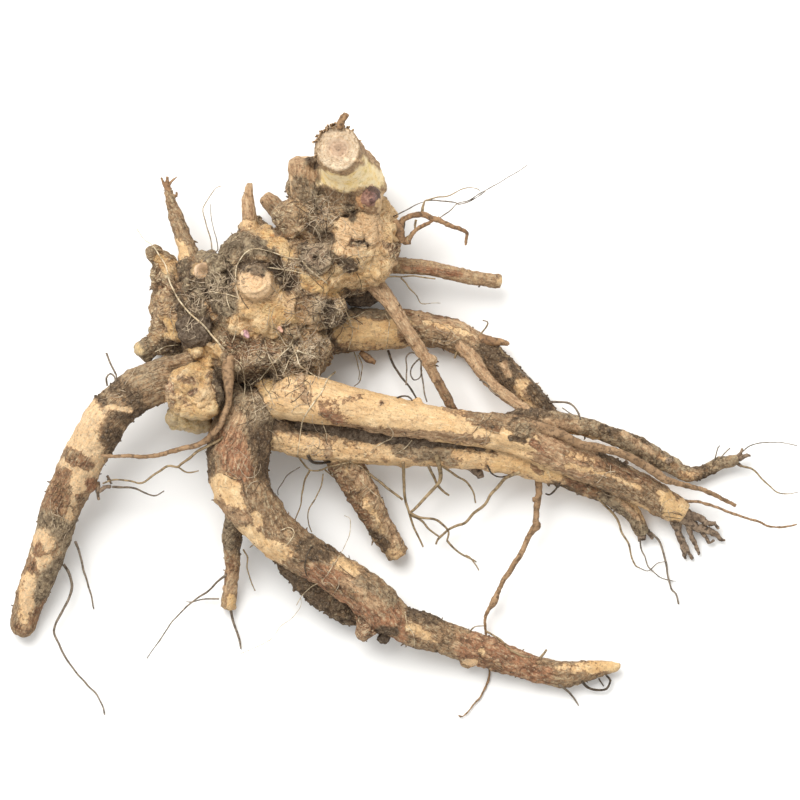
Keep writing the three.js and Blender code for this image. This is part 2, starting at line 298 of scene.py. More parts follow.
# Lumps of the crown: middle, then half widths
crownLumps = [
    (-27.5, 82.5, 29, 26, 29, 30.5), (-32, 105, 30, 23.5, 17, 24), (-49, 64, 29, 24, 24, 27),
    (-68, 48, 29, 27, 27, 30), (-72, 71, 27, 17, 15, 22), (-96, 50, 25, 21, 23, 24),
    (-113, 45, 22, 11, 20, 19), (-68, 19, 28, 24, 20, 25), (-88, 24, 30, 20, 16, 20),
    (-48, 27, 27, 13, 16, 21), (-80, 36.5, 43, 7, 6.5, 10), (-54.5, 34.5, 46, 5, 4.6, 8),
    (-42, 71, 52, 9, 9, 8), (-119, 29.5, 27, 7, 5.5, 6), (-113, 34, 30, 8, 5.5, 8), (-67, 6.5, 45, 5, 5, 5),
    (-108, -8, 32, 8.4, 6.4, 8), (-101, -11, 31, 6.6, 5.4, 7), (-97, 24.5, 44, 6, 3.4, 4),
    (-64, 47, 50, 13, 8, 8), (-40, 46, 44, 12, 10, 9), (-92, 58, 42, 9, 14, 8), (-50, 90, 44, 12, 10, 9),
    (-14, 76, 42, 13, 18, 10),
]

# Swellings that belong to a root rather than to the crown
rootLumps = [
    (61, -15, 38.5, 6.5, 5.5, 5), (16, 20, 31, 3, 3, 3), (-127, 25.5, 24, 4.6, 4.8, 5),
    (35, -131, 8, 5, 3, 3.6), (9, 0, 40, 2.4, 1.8, 2), (-156, -43, 27, 4, 3.4, 3.4),
    (119, -20, 15, 4, 2, 3), (-20, -96, 33, 5, 4, 4), (2, -31, 26, 4.5, 3.4, 3),
]

# Folds and hollows pressed into the top: two ends in plan, reach and depth
folds = [
    ((-76, 9), (-66, 12), 8, 13), ((-61, 67), (-56, 58), 6, 6), ((-48, 79), (-35, 81), 5, 4.5),
    ((-44, 119), (-43, 116), 2.6, 4), ((-39, 35), (-33, 51), 5, 6), ((-97, 64), (-93, 32), 4.5, 5),
    ((-111, 62), (-107, 45), 3.6, 3.5), ((-113, 15), (-98, 20), 3, 3), ((-40, 103), (-23, 101), 3.4, 3),
    ((-50, 95), (-27, 92), 2.6, 2), ((-83, 46), (-73, 31), 2.4, 2), ((-30, 90), (-18, 94), 2.4, 2.4),
    ((-86, 62), (-83, 50), 3, 2.4), ((-48, -2), (-46, 12), 1.8, 1.2), ((-56, 22), (-52, 12), 3, 3),
    ((-84, 10), (-70, 5), 3.4, 5), ((-98, 26), (-93, 20), 2.6, 4), ((-24, 79), (-20, 78.6), 1.6, 1.6),
    ((-104, 58), (-100, 48), 2.6, 3.5), ((-30, 69), (-22, 64), 3, 2), ((-21, 80), (-17, 78), 2.4, 1.8),
    ((-56, 80), (-52, 74), 3, 2.2), ((-122, 60), (-113, 52), 2, 2), ((-90, -6), (-94, 14), 2.4, 4),
    ((50, -24), (66, -26), 2, 2), ((-54, -14), (-20, -14.5), 2.4, 2.5), ((-20, -14.5), (45, -21), 2.2, 2),
]

# Scars where a stem or root was cut or fell away: middle, radius, ring width, relief, dip in the middle,
# how much cut wood shows, how uneven the rings are, and the height above which it lies
scars = {
    "stem": ((-30.6, 124.2), 10.5, 2.6, 0.28, 0.7, 1.0, 0.5, 72),
    "facingRoot": ((-105, 6), 10.2, 3.6, 0.6, 0.9, 0.15, 4.5, 50),
    "oldStem": ((-41.5, 71), 7.6, 2.5, 0.8, 2.5, 0.35, 1.6, 44),
    "knob": ((-71.5, 58.5), 8.8, 2.5, 0.6, -0.6, 0.2, 0.9, 54),
    "smallStub": ((-99, 64.5), 4.2, 3, 0.05, 0.2, 0.8, 0.3, 42),
    "knot": ((61, -15), 6.2, 2.9, 0.5, 0.4, 0.0, 1.0, 34),
}

# Coats: shares of bare flesh, light bark, rust, gold, dust, soil and green
coatNames = ["bare", "light", "rust", "gold", "dust", "soil", "green"]
coats = {
    "flesh": (1.0, 0.5, 0.0, 0.1, 0.0, 0.0, 0.0),
    "creamy": (0.8, 0.85, 0.2, 0.3, 0.1, 0.05, 0.0),
    "gold": (0.95, 0.5, 0.05, 1.0, 0.0, 0.05, 0.0),
    "tan": (0.15, 1.0, 0.15, 0.2, 0.05, 0.05, 0.0),
    "bark": (0.2, 0.35, 0.15, 0.2, 0.3, 0.2, 0.0),
    "rust": (0.12, 0.5, 1.0, 0.2, 0.1, 0.1, 0.0),
    "amber": (0.6, 0.6, 0.6, 1.0, 0.0, 0.05, 0.0),
    "mottled": (0.5, 0.6, 0.2, 0.4, 0.3, 0.16, 0.0),
    "shred": (0.42, 0.95, 0.1, 0.15, 0.25, 0.08, 0.0),
    "dusty": (0.15, 0.3, 0.1, 0.2, 0.6, 0.3, 0.0),
    "grey": (0.1, 0.2, 0.0, 0.0, 0.95, 0.42, 0.0),
    # the dark coat is soil, and where it lies in folds, gaps and under other roots it is painted shade as
    # well
    "dark": (0.06, 0.12, 0.0, 0.0, 0.2, 0.76, 0.0),
    "brown": (0.0, 0.1, 0.5, 0.0, 0.1, 0.24, 0.0),
    "chalk": (1.0, 0.6, 0.0, 0.0, 0.5, 0.1, 0.3),
    "collar": (1.0, 0.5, 0.0, 0.0, 0.0, 0.0, 1.0),
    "pink": (0.94, 0.9, 0.7, 0.1, 0.0, 0.04, 0.0),
    "blush": (0.97, 0.5, 0.6, 0.0, 0.42, 0.06, 0.0),
    "rosy": (0.16, 0.95, 0.4, 0.1, 0.1, 0.06, 0.0),
}

# The coat that a root has where nothing below is painted over it
rootCoats = {
    "crown": "mottled", "left": "bark", "facingStub": "gold", "lower": "bark", "lowerSpur": "rust",
    # the under root lies beneath the lower root, so its dark coat is painted shade as well as soil
    "under": "dark", "small": "mottled", "broken": "mottled", "rightUpper": "flesh",
    "rightUnder": "creamy", "topRight": "dusty", "back": "mottled", "strand": "tan",
    "crossing": "tan", "farRight": "shred", "torn": "bark", "leftStub": "bark", "upStub": "tan",
    "roundStub": "tan", "smallCutStub": "flesh", "stem": "shred", "oldStem": "blush", "knob": "pink",
    "budBase": "tan", "footBack": "dusty", "footLeft": "dusty", "footFront": "dusty",
}

# Patches painted over that: coat, two ends in plan, reach. Dark patches in folds and gaps are painted shade
# as well as soil.
patches = {
    "crown": [
        ("bark", (-62, 92), (-50, 86), 9), ("mottled", (-52, 98), (-28, 94), 8),
        ("shred", (-50, 96), (-22, 92), 6), ("pink", (-24, 86), (-6, 84), 8),
        ("pink", (-24, 74), (-8, 70), 12), ("flesh", (-34, 60), (-14, 60), 8),
        ("flesh", (-24, 67), (-10, 70), 6), ("brown", (-24, 78.5), (-20, 79), 2),
        ("tan", (-6, 92), (-3, 74), 4), ("grey", (-92, 72), (-88, 50), 10),
        ("grey", (-82, 79), (-66, 75), 5), ("gold", (-67, 83), (-64, 78), 3),
        ("gold", (-59, 78), (-56, 72), 3), ("gold", (-72, 50), (-58, 52), 5),
        ("flesh", (-70, 46), (-60, 36), 10), ("pink", (-52, 50), (-44, 38), 7),
        ("shred", (-50, 56), (-36, 40), 7), ("gold", (-68, 48), (-52, 36), 5),
        ("gold", (-52, 62), (-33, 53), 3.6), ("flesh", (-80, 37), (-79, 36), 5.5),
        ("gold", (-76, 30), (-73, 33), 3), ("gold", (-54.5, 34.5), (-54, 34), 4.6),
        ("brown", (-80, 24), (-58, 20), 8), ("shred", (-52, 30), (-38, 18), 9),
        ("dark", (-78, 8), (-62, 11), 6), ("dark", (-36, 47), (-32, 32), 4),
        ("dark", (-62, 68), (-55, 58), 5), ("shred", (-52, 84), (-46, 78), 5),
        ("dark", (-43, 84), (-36, 80), 3.4), ("dark", (-44, 87), (-39, 80), 2.4),
        ("dusty", (-41.5, 71), (-41, 71), 8), ("dark", (-47, 75), (-46, 68), 2.6),
        ("dark", (-28, 69), (-24, 66), 3.6), ("dark", (-21, 79), (-17, 78), 2),
        ("dark", (-26, 95), (-24, 92), 3), ("bark", (-40, 103), (-26, 101), 3),
        ("collar", (-43, 113), (-37.5, 110), 3.2), ("collar", (-38, 110.5), (-27, 108), 3.4),
        ("collar", (-27, 108), (-19, 110.5), 3.8), ("collar", (-19, 112), (-12, 111), 4.6),
        ("collar", (-19, 117), (-15, 114), 3.8), ("amber", (-22, 119), (-20, 118), 2),
        ("tan", (-19, 129), (-14, 119), 1.6), ("flesh", (-8, 100), (-4, 82), 4),
        ("bark", (-42, 133), (-42, 118), 2.4), ("tan", (-52, 117), (-46, 112), 6),
        ("dusty", (-50, 107), (-44, 102), 5), ("dark", (-45, 118.5), (-42.5, 117), 2.6),
        ("pink", (-73, 57), (-70, 57), 9), ("dark", (-76, 67), (-69, 65.5), 4.4),
        ("dark", (-105, 62), (-97, 44), 7), ("dusty", (-103, 55), (-99, 50), 3),
        ("bark", (-122, 76), (-116, 54), 6.5), ("gold", (-119, 70), (-115, 65), 3.2),
        ("brown", (-118, 57), (-111, 52), 4.5), ("shred", (-119, 50), (-114, 40), 4),
        ("dark", (-110, 50), (-107, 42), 4), ("gold", (-118, 37), (-111, 34), 4.6),
        ("shred", (-124, 44), (-120, 36), 4), ("dusty", (-131, 30), (-125, 22), 5.5),
        ("chalk", (-131.5, 27), (-130, 25), 1.8), ("amber", (-97, 49), (-93, 41), 2.2),
        ("gold", (-101, 26), (-92, 24), 3), ("dark", (-119, 28), (-110, 27), 2.6),
        ("flesh", (-99, 64.5), (-98.5, 64.5), 4), ("flesh", (-109.5, 78), (-107, 71), 2.8),
        ("creamy", (-117, 68), (-112, 62), 3), ("gold", (-67, 6), (-66, 7), 4.4),
        ("chalk", (-112, -8), (-103, -15), 8), ("gold", (-108, 16), (-98, 16), 6),
        ("gold", (-112, 0), (-96, -2), 7), ("flesh", (-98, -1), (-96, 2), 4),
        ("amber", (-110, 11), (-103, 9), 1.8), ("rust", (-104, 3), (-101, 5), 1.3),
        ("amber", (-109, 1), (-106, -2), 1.4), ("rust", (-114, 8), (-113, -1), 1.8),
        ("amber", (-94, 12), (-92, 6), 3.4), ("dark", (-91, 14), (-89, -6), 2.4),
        ("amber", (-130, 2), (-114, 1), 3), ("brown", (-86, 30), (-74, 26), 4),
        ("creamy", (-78, 88), (-72, 86), 3), ("dark", (-16, 54), (-26, 52), 3),
    ],
    "left": [
        ("dusty", (-152, 8), (-118, 20), 10), ("bark", (-112, 12), (-94, 20), 9),
        ("dark", (-141, 7), (-133, 1), 4), ("dark", (-150, -1), (-146, -9), 3.6),
        ("dark", (-152, -12), (-142, -22), 6.5), ("dark", (-140, -8), (-128, -6), 4),
        ("blush", (-146, -3.5), (-135, -4.5), 1.4), ("blush", (-154, -8), (-163, -27), 7.6),
        ("bark", (-150, -24), (-146, -30), 3), ("blush", (-158, -28), (-168, -60), 12),
        ("bark", (-173, -29), (-176, -38), 2.6), ("brown", (-164, -28), (-157, -31), 4),
        ("bark", (-170, -27), (-162, -27), 1.8), ("brown", (-169, -38), (-171, -54), 5),
        ("brown", (-161, -48), (-160, -50), 1.4), ("bark", (-157, -50), (-163, -66), 4.4),
        ("brown", (-176, -48), (-180, -58), 3), ("grey", (-180, -61), (-163, -68), 6.5),
        ("grey", (-163, -66), (-171, -82), 5), ("blush", (-178, -71), (-180, -88), 6.5),
        ("brown", (-181, -76), (-180, -74), 2.6), ("brown", (-185, -82), (-183, -88), 3),
        ("bark", (-173, -76), (-171, -79), 3), ("grey", (-171, -84), (-180, -98), 6.5),
        ("creamy", (-186, -90), (-188, -110), 4), ("blush", (-186, -92), (-187, -104), 3.2),
        ("brown", (-192, -114), (-188, -116), 2.2), ("brown", (-178, -102), (-184, -112), 2.6),
        ("rust", (-155, -42), (-152, -44), 3.4),
    ],
    "lower": [
        ("dusty", (-82, -5), (-62, -14), 12), ("tan", (-88, -3), (-80, -10), 4),
        ("grey", (-68, -10), (-54, -16), 6), ("rust", (-84, -22), (-80, -36), 8.5),
        ("dark", (-70, -18), (-65, -46), 6), ("dark", (-96, -20), (-95, -44), 3.6),
        ("flesh", (-90, -42), (-80, -49), 6.4), ("bark", (-72, -46), (-64, -60), 7),
        ("tan", (-88, -56), (-78, -58), 4), ("flesh", (-72, -57), (-70, -62), 2.6),
        ("flesh", (-77, -66), (-60, -77), 4.4), ("bark", (-60, -65), (-49, -72), 6),
        ("creamy", (-62, -72), (-56, -76), 3), ("dark", (-46, -74), (-36, -81), 5.6),
        ("creamy", (-32, -82), (-23, -86), 4), ("rust", (-40, -88), (-6, -106), 8),
        ("tan", (-26, -92), (-12, -102), 4.5), ("dusty", (-20, -90), (-4, -100), 3),
        ("rust", (-20, -108), (-2, -116), 6.4), ("brown", (-34, -94), (-24, -98), 3),
        ("dark", (-9, -116), (-3, -116), 3), ("creamy", (5, -114), (18, -120), 3),
        ("dark", (6, -106), (24, -113), 3.6), ("bark", (22, -116), (34, -124), 6),
        ("rust", (35, -124), (70, -136), 8), ("brown", (42, -130), (50, -134), 3),
        ("flesh", (41, -126), (42, -127), 1.6), ("creamy", (80, -132), (90, -133), 4),
        ("bark", (70, -132), (92, -131), 1.8), ("gold", (96, -134), (110, -134), 4),
        ("pink", (33, -131), (37, -132), 1.8),
    ],
    "under": [("bark", (-56, -72), (-46, -84), 3), ("dark", (-44, -86), (-16, -104), 9)],
    "small": [
        ("grey", (-86, -58), (-85, -72), 4), ("dark", (-80, -60), (-80, -76), 3),
        ("tan", (-85, -84), (-85, -103), 4), ("gold", (-85, -100), (-85, -104), 2.6),
        ("brown", (-86, -80), (-83, -84), 2.4),
    ],
    "broken": [
        ("brown", (-33, -34), (-16, -62), 3), ("creamy", (-16, -52), (-9, -57), 3),
        ("tan", (-22, -34), (-10, -52), 3.6), ("dark", (-14, -66), (-6, -74), 2.4),
        ("tan", (-8, -56), (1, -72), 3), ("creamy", (-4, -77), (3, -80), 3),
    ],
    "rightUpper": [
        ("creamy", (-62, 10), (-54, 4), 7), ("tan", (-50, 12), (-46, 0), 2),
        ("amber", (-39, -2), (-28, -11), 5), ("rust", (-38, -6), (-30, -10), 2.4),
        ("tan", (-25, -14.5), (42, -20), 2.6), ("brown", (-9.5, -1.5), (-9, -2), 1.2),
        ("tan", (24, -4), (50, -4), 3), ("brown", (36, -9), (48, -13), 3.2),
        ("dark", (40, -10), (46, -12), 1.8), ("amber", (-36, -3), (-20, 2), 2),
        ("amber", (28, -6), (54, -6), 2.2), ("bark", (80, -20), (128, -50), 13),
        ("dark", (92, -24), (112, -33), 2.4), ("rosy", (68, -20), (92, -32), 9),
        ("bark", (38, -7), (60, -8), 4.4), ("flesh", (50, -22), (66, -22), 4.4),
        ("bark", (54, -12), (69, -13), 4), ("dusty", (60.5, -15), (61.5, -15), 5),
        ("dark", (55, -18.5), (62, -20.4), 1.3), ("dark", (54, -12), (58, -9.6), 1.4),
        ("rust", (66, -21), (71, -25), 1.6), ("creamy", (84, -33), (104, -37), 1.6),
        ("creamy", (104, -37), (120, -44), 1.2), ("amber", (84, -27), (100, -31), 2.2),
        ("brown", (100, -32), (124, -41), 2.4), ("creamy", (118, -52), (124, -56), 2.4),
        ("flesh", (130, -46.5), (136, -50), 1.6), ("gold", (134.5, -51), (139, -61), 4.8),
        ("dark", (137, -62), (141, -64), 2),
    ],
    "rightUnder": [
        # this dark strip is painted shade in the gap below rightUpper, as well as soil
        ("dark", (-64, -12), (46, -23), 4), ("creamy", (-57, -23), (0, -29), 4.4),
        ("tan", (-36, -18), (-36, -28), 1.6), ("dusty", (0, -24), (27, -28), 4.6),
        ("creamy", (28, -27), (50, -31), 3.6), ("gold", (50, -32), (86, -38), 3.6),
        ("brown", (66, -33), (70, -36), 1.4), ("brown", (84, -40), (104, -48), 4),
        ("dark", (76, -43), (112, -58), 3), ("grey", (104, -48), (122, -66), 4),
        ("tan", (106, -46), (120, -60), 1.2),
    ],
    "topRight": [
        ("tan", (58, -9), (88, -13), 2.6), ("dark", (50, -6), (74, -6), 2.4),
        ("creamy", (84, -17), (99, -20), 1.6), ("dark", (100, -14), (124, -22), 2.0),
        ("tan", (112, -17), (126, -26), 1.4), ("amber", (130, -28), (138, -33), 1.4),
        ("amber", (142, -38), (150, -38), 2.6), ("dark", (146, -33), (154, -34), 2),
        ("dark", (150, -39), (158, -37), 2),
    ],
    "back": [
        ("dark", (-44, 34), (-32, 34), 12), ("gold", (-26, 36), (0, 35), 9),
        ("dusty", (-32, 46), (34, 42), 4), ("brown", (3, 34), (12, 31), 5), ("bark", (12, 30), (34, 24), 6),
        ("brown", (4, 45), (36, 37), 3), ("tan", (10, 41), (40, 33), 3.4),
        ("creamy", (13, 39), (38, 32), 1.6), ("tan", (38, 31), (48, 28), 3), ("dark", (43, 26), (58, 9), 6),
        ("tan", (51, 18), (55, 13), 2), ("creamy", (60, 8), (67, 1), 4), ("dark", (67, 4), (76, -6), 4),
    ],
    "crossing": [("brown", (21, 8), (28, -6), 3), ("tan", (14, 18), (18, 14), 2)],
    "farRight": [("rust", (2, 66), (30, 63), 1.6), ("flesh", (50.4, 59.6), (51.4, 59.4), 2)],
}

skinForm = {
    "voxel": 0.9,  # millimetres
    "relax": 3,  # smoothing rounds that blend the lumps
    "hollowRounds": 30,  # smoothing rounds that show what is a hollow and what a crest
    "deepestFold": 14,
    "foldsAbove": (22, 32),  # heights between which the folds set in
    "rest": 2.5,  # below this height the relief fades out, so that the root lies flat
    # relief in millimetres: in step with a root's thickness, the same everywhere, and on rugged parts
    "relief": {"swell": 1.0, "medium": 0.8, "streaks": 0.45, "rings": 0.35},
    "fineRelief": {"small": 0.35, "tiny": 0.28},
    "ruggedRelief": {"lumps": 1.2, "medium": 1.0, "ridged": 0.8, "small": 0.6, "shreds": 0.5},
    "crease": 0.35,
    "ruggedCrease": 1.3,
    "corkEdge": 0.3,  # how far the cork stands above bare flesh
    "caked": 0.9,  # how thick the soil is caked on
    # roots with some of the crown's ruggedness
    "rough": {
        "facingStub": 1, "leftStub": 1, "lowerSpur": 1, "footBack": 1, "footLeft": 1, "footFront": 1,
        "broken": 0.5, "under": 0.6, "lower": 0.2, "small": 0.3, "topRight": 0.3, "torn": 0.3, "back": 0.15,
        "left": 0.08, "rightUpper": 0.08, "rightUnder": 0.2,
    },
    "triangles": 190000,
}


def skinBase():
    # the grown shape before its wrinkles
    bm = bmesh.new()
    bm.from_mesh(tubesMesh("bars", [smoothRoute(stops, 2.5) for stops in roots.values()], 20))
    for lump in crownLumps + rootLumps:
        addLump(bm, lump, 4)
    remesh = {"mode": "VOXEL", "voxel_size": skinForm["voxel"] * mm}
    relax = {"factor": 0.5, "iterations": skinForm["relax"]}
    return modifiedMesh(meshFrom(bm, "skin"), [("REMESH", remesh), ("SMOOTH", relax)])


def rootSamples():
    # places along every root with the radius, the distance along it and three directions
    rows = []
    for index, stops in enumerate(roots.values()):
        route = smoothRoute(stops, 1.5)
        heading = np.gradient(route[:, :3], axis=0)
        heading /= np.linalg.norm(heading, axis=1)[:, None]
        side = np.cross(heading[0], (0.31, 0.55, 0.78))
        along = 0.0
        for i, here in enumerate(route):
            along += float(np.linalg.norm(here[:3] - route[max(i - 1, 0), :3]))
            side = side - (side @ heading[i]) * heading[i]
            side /= np.linalg.norm(side)
            rows.append([index, *here, along, *heading[i], *side, *np.cross(heading[i], side)])
    return np.array(rows)


def nearestRoots(points):
    # for each point the root it is on, its radius there, and the place along and across it
    rows = rootSamples()
    owner = np.zeros(len(points), int)
    radius = np.zeros(len(points))
    grain = np.zeros((len(points), 3))
    lumps = np.array(crownLumps)
    for low in range(0, len(points), 4000):
        part = points[low:low + 4000]
        squares = (part**2).sum(1)[:, None] + (rows[:, 1:4] ** 2).sum(1) - 2 * part @ rows[:, 1:4].T
        gaps = np.sqrt(np.maximum(squares, 0)) - rows[:, 4]
        best = gaps.argmin(1)
        nearest = rows[best]
        offset = part - nearest[:, 1:4]
        grain[low:low + 4000, 0] = nearest[:, 5] + (offset * nearest[:, 6:9]).sum(1)
        grain[low:low + 4000, 1] = (offset * nearest[:, 9:12]).sum(1)
        grain[low:low + 4000, 2] = (offset * nearest[:, 12:15]).sum(1)
        radius[low:low + 4000] = nearest[:, 4]
        away = part[:, None, :] - lumps[:, :3]
        share = np.linalg.norm(away / lumps[:, 3:], axis=2)
        lumpGap = (np.linalg.norm(away, axis=2) * (1 - 1 / np.maximum(share, 0.05))).min(1)
        onCrown = lumpGap < gaps.min(1)
        owner[low:low + 4000] = np.where(onCrown, -1, nearest[:, 0].astype(int))
    return owner, radius, grain


def paintedCoat(points, up, owner):
    # shares of each coat at every point
    names = list(roots)
    defaults = [coats[rootCoats[name]] for name in names] + [coats[rootCoats["crown"]]]
    coat = np.array(defaults)[owner]
    ragged = 0.45 * noiseOf(points, 7, 21) + 0.3 * noiseOf(points, 2.6, 22)
    facing = smoothStep(-0.4, 0.1, up)
    longRoots = [names.index(name) for name in patches if name != "crown"]
    for name, strokes in patches.items():
        if name == "crown":
            allowed = ~np.isin(owner, longRoots) | (owner == names.index("left")) & (points[:, 0] > -118)
        else:
            allowed = owner == names.index(name)
        for kind, start, end, reach in strokes:
            distance = nearLine(points[:, :2], start, end) + ragged * min(reach, 5)
            weight = smoothStep(reach * 1.3, reach * 0.6, distance) * facing * allowed
            if kind == "collar":
                weight *= smoothStep(82, 75, points[:, 2] + 5 * ragged)  # the stem above it is bark
            coat += (np.array(coats[kind]) - coat) * weight[:, None]
    return coat


def setAttribute(mesh, name, values):
    kind = "FLOAT_VECTOR" if values.ndim == 2 else "FLOAT"
    layer = mesh.attributes.new(name, kind, "POINT")
    layer.data.foreach_set("vector" if values.ndim == 2 else "value", values.astype(np.float32).ravel())


def makeSkin():
    mesh = skinBase()
    points, normals = meshArrays(mesh)
    print("skin base has", len(points), "points")
    owner, radius, grain = nearestRoots(points)
    up = normals[:, 2]

    # folds, pressed down from above
    lowered = np.zeros(len(points))
    for start, end, reach, depth in folds:
        lowered += depth * smoothStep(reach * 1.3, 0, nearLine(points[:, :2], start, end))
    lowered = np.minimum(lowered, skinForm["deepestFold"])
    points[:, 2] -= lowered * smoothStep(0, 0.4, up) * smoothStep(*skinForm["foldsAbove"], points[:, 2])
    moveVertices(mesh, points)
    soft = modifiedMesh(mesh, [("SMOOTH", {"factor": 0.5, "iterations": skinForm["hollowRounds"]})])
    points, normals = meshArrays(mesh)
    up = normals[:, 2]
    cavity = ((meshArrays(soft)[0] - points) * normals).sum(1)
    coat = paintedCoat(points, up, owner)
    shares = dict(zip(coatNames, coat.T))

    # scars with their rings
    cut, ringAt, scarPush = np.zeros((3, len(points)))
    wobble = noiseOf(points, 5, 23)
    for at, wide, ring, relief, dip, wood, sway, above in scars.values():
        distance = np.linalg.norm(points[:, :2] - at, axis=1) + sway * wobble
        inside = smoothStep(wide + 0.5, wide - 0.7, distance) * smoothStep(0.2, 0.5, up)
        inside *= smoothStep(above, above + 4, points[:, 2])
        wave = np.cos(distance / ring * 2 * math.pi)
        scarPush += inside * (relief * wave - dip * smoothStep(wide * 0.6, 0, distance))
        cut = np.maximum(cut, inside * wood)
        ringAt = np.where(inside > 0.01, distance, ringAt)

    # wrinkles, folds and lumps
    onCrown = np.array([skinForm["rough"].get(name, 0.0) for name in roots] + [1.0])[owner]
    size = np.maximum(onCrown, np.clip(radius / 9, 0.3, 1.0))
    fields = {
        "swell": noiseOf(points, 15, 1),
        "lumps": noiseOf(points, 11, 7),
        "medium": noiseOf(points, 6, 2),
        "small": noiseOf(points, 2.8, 3),
        "tiny": noiseOf(points, 1.6, 9),
        "ridged": 1 - 2 * np.abs(noiseOf(points, 7, 4)),
        "shreds": 1 - 2 * np.abs(noiseOf(points, 3.2, 10)),
        "streaks": noiseOf(grain * (0.16, 1, 1), 2.2, 5),
        "rings": noiseOf(grain * (1, 0.22, 0.22), 3.0, 6),
    }
    base, fine, rugged = (sum(depth * fields[name] for name, depth in skinForm[kind].items())
                          for kind in ("relief", "fineRelief", "ruggedRelief"))
    creases = smoothStep(0.13, 0, np.abs(noiseOf(points, 9, 12))) * smoothStep(-0.3, 0.2, fields["medium"])
    push = size * base + fine
    push -= creases * (skinForm["crease"] * size + skinForm["ruggedCrease"] * onCrown)
    push += onCrown * rugged
    smooth = 1 - 0.55 * smoothStep(0.7, 1.0, shares["bare"]) * (1 - onCrown)
    push *= smooth * (1 - 0.4 * cut)
    push += skinForm["corkEdge"] * (1 - smoothStep(0.3, 0.7, shares["bare"])) * size
    cake = np.maximum(noiseOf(points, 2.4, 8), 0) * np.minimum(size * 1.5, 1)
    push += skinForm["caked"] * shares["soil"] * cake
    push += scarPush
    moved = points + normals * (push * smoothStep(0, skinForm["rest"], points[:, 2]))[:, None]
    moved[:, 2] = np.maximum(moved[:, 2], 0)
    moveVertices(mesh, moved)

    # the hollows and creases get more soil, which is also painted shade there, and faces that look down get
    # more dust
    cavity = cavity - 0.6 * scarPush - 0.35 * (fields["ridged"] * onCrown + fields["medium"])
    cavity += creases * (0.2 + 1.3 * onCrown) * (1 - 0.7 * shares["bare"])
    shares["soil"] += 0.5 * smoothStep(0.5, 1.6, cavity) * (1 - 0.6 * shares["green"])
    shares["dust"] += 0.2 * smoothStep(-0.2, -0.9, up)
    ringAt, grain = ringAt * mm, grain * mm
    layers = {**shares, "calm": 1 - onCrown, "cut": cut, "ringAt": ringAt, "cavity": cavity, "grain": grain}
    for name, values in layers.items():
        setAttribute(mesh, name, values)
    triangles = 2 * len(mesh.polygons)
    return modifiedMesh(mesh, [("DECIMATE", {"ratio": min(1, skinForm["triangles"] / triangles)})])


def blended(tree, below, *layers):
    # colours laid over each other, each with the share of it that shows
    for share, above in layers:
        below = addNode(tree, "ShaderNodeMix", {0: share, 6: below, 7: above}, data_type="RGBA").outputs[2]
    return below


def mottle(tree, vector, size, detail, low, high, most=1.0):
    # a noise with features about that many millimetres wide, stretched to run from 0 to most,
    # which is a number or another pattern
    settings = {"Vector": vector, "Scale": perMm(size), "Detail": detail, "Roughness": 0.64}
    fac = addNode(tree, "ShaderNodeTexNoise", settings).outputs["Fac"]
    return addNode(tree, "ShaderNodeMapRange", {0: fac, 1: low, 2: high, 4: most}).outputs[0]


def coatMask(tree, name, edge, softness, most=1.0):
    # where a coat lies, its edge broken up by a noise that runs from 0 to 1
    here = addNode(tree, "ShaderNodeAttribute", attribute_name=name).outputs["Fac"]
    total = addNode(tree, "ShaderNodeMath", {0: here, 1: edge}, operation="ADD").outputs[0]
    limits = {0: total, 1: 1 - softness, 2: 1 + softness, 4: most}
    return addNode(tree, "ShaderNodeMapRange", limits, interpolation_type="SMOOTHSTEP").outputs[0]


def crackLines(tree, vector, size, width, most):
    # thin lines between plates about that many millimetres across
    settings = {"Vector": vector, "Scale": perMm(size), "Detail": 4}
    wobble = addNode(tree, "ShaderNodeTexNoise", settings).outputs["Color"]
    swing = {0: wobble, 1: (1.3 * size * mm,) * 3, 2: vector}
    bent = addNode(tree, "ShaderNodeVectorMath", swing, operation="MULTIPLY_ADD").outputs[0]
    settings = {"Vector": bent, "Scale": perMm(size)}
    cells = addNode(tree, "ShaderNodeTexVoronoi", settings, feature="DISTANCE_TO_EDGE").outputs["Distance"]
    return addNode(tree, "ShaderNodeMapRange", {0: cells, 1: width, 2: 0.0, 4: most}).outputs[0]


def dressShader(tree, shader, colour, relief, depth, strength, roughness, specular=0.5):
    # a colour and a bump that many millimetres deep, both patterns, and how matt the surface is
    tree.links.new(colour, shader.inputs["Base Color"])
    bump = addNode(tree, "ShaderNodeBump", {"Height": relief, "Distance": depth * mm, "Strength": strength})
    tree.links.new(bump.outputs[0], shader.inputs["Normal"])
    shader.inputs["Roughness"].default_value = roughness
    shader.inputs["Specular IOR Level"].default_value = specular


# Colours of the skin, the darker one first
skinColours = {
    "darkCork": ("6d5138", "a8855e"),
    "lightCork": ("a07a58", "d8b48c"),
    "rust": ("864c36", "bd845e"),
    "flesh": ("dfb67f", "f6d8a8"),
    "fleshStreak": "bb9362",
    # pale flecks, and the painted highlight on the crests
    "paleFleckAndHighlight": "ead8b0",
    # brown rim of the cork, also the painted shadow under its edge
    "rim": "7a5234",
    "strand": "553d2a",
    "fleshStrand": "b5824f",
    "pink": "f5cca2",
    "film": "bd9a70",
    "ochre": "cdb468",
    "pith": "c8a084",
    "gold": ("cb9c56", "e2be7c"),
    "green": ("f6d894", "ffecc0"),
    "dust": ("8f7e64", "b8a88a"),
    "soil": ("3b2e22", "75604a"),
    "paleCrumb": "9c8b72",
    "speck": "46362a",
    "crack": "3d2c1f",
    "wood": ("cfb08c", "efdcbe"),
    # painted shade in the hollows
    "hollowShade": "2b2119",
}


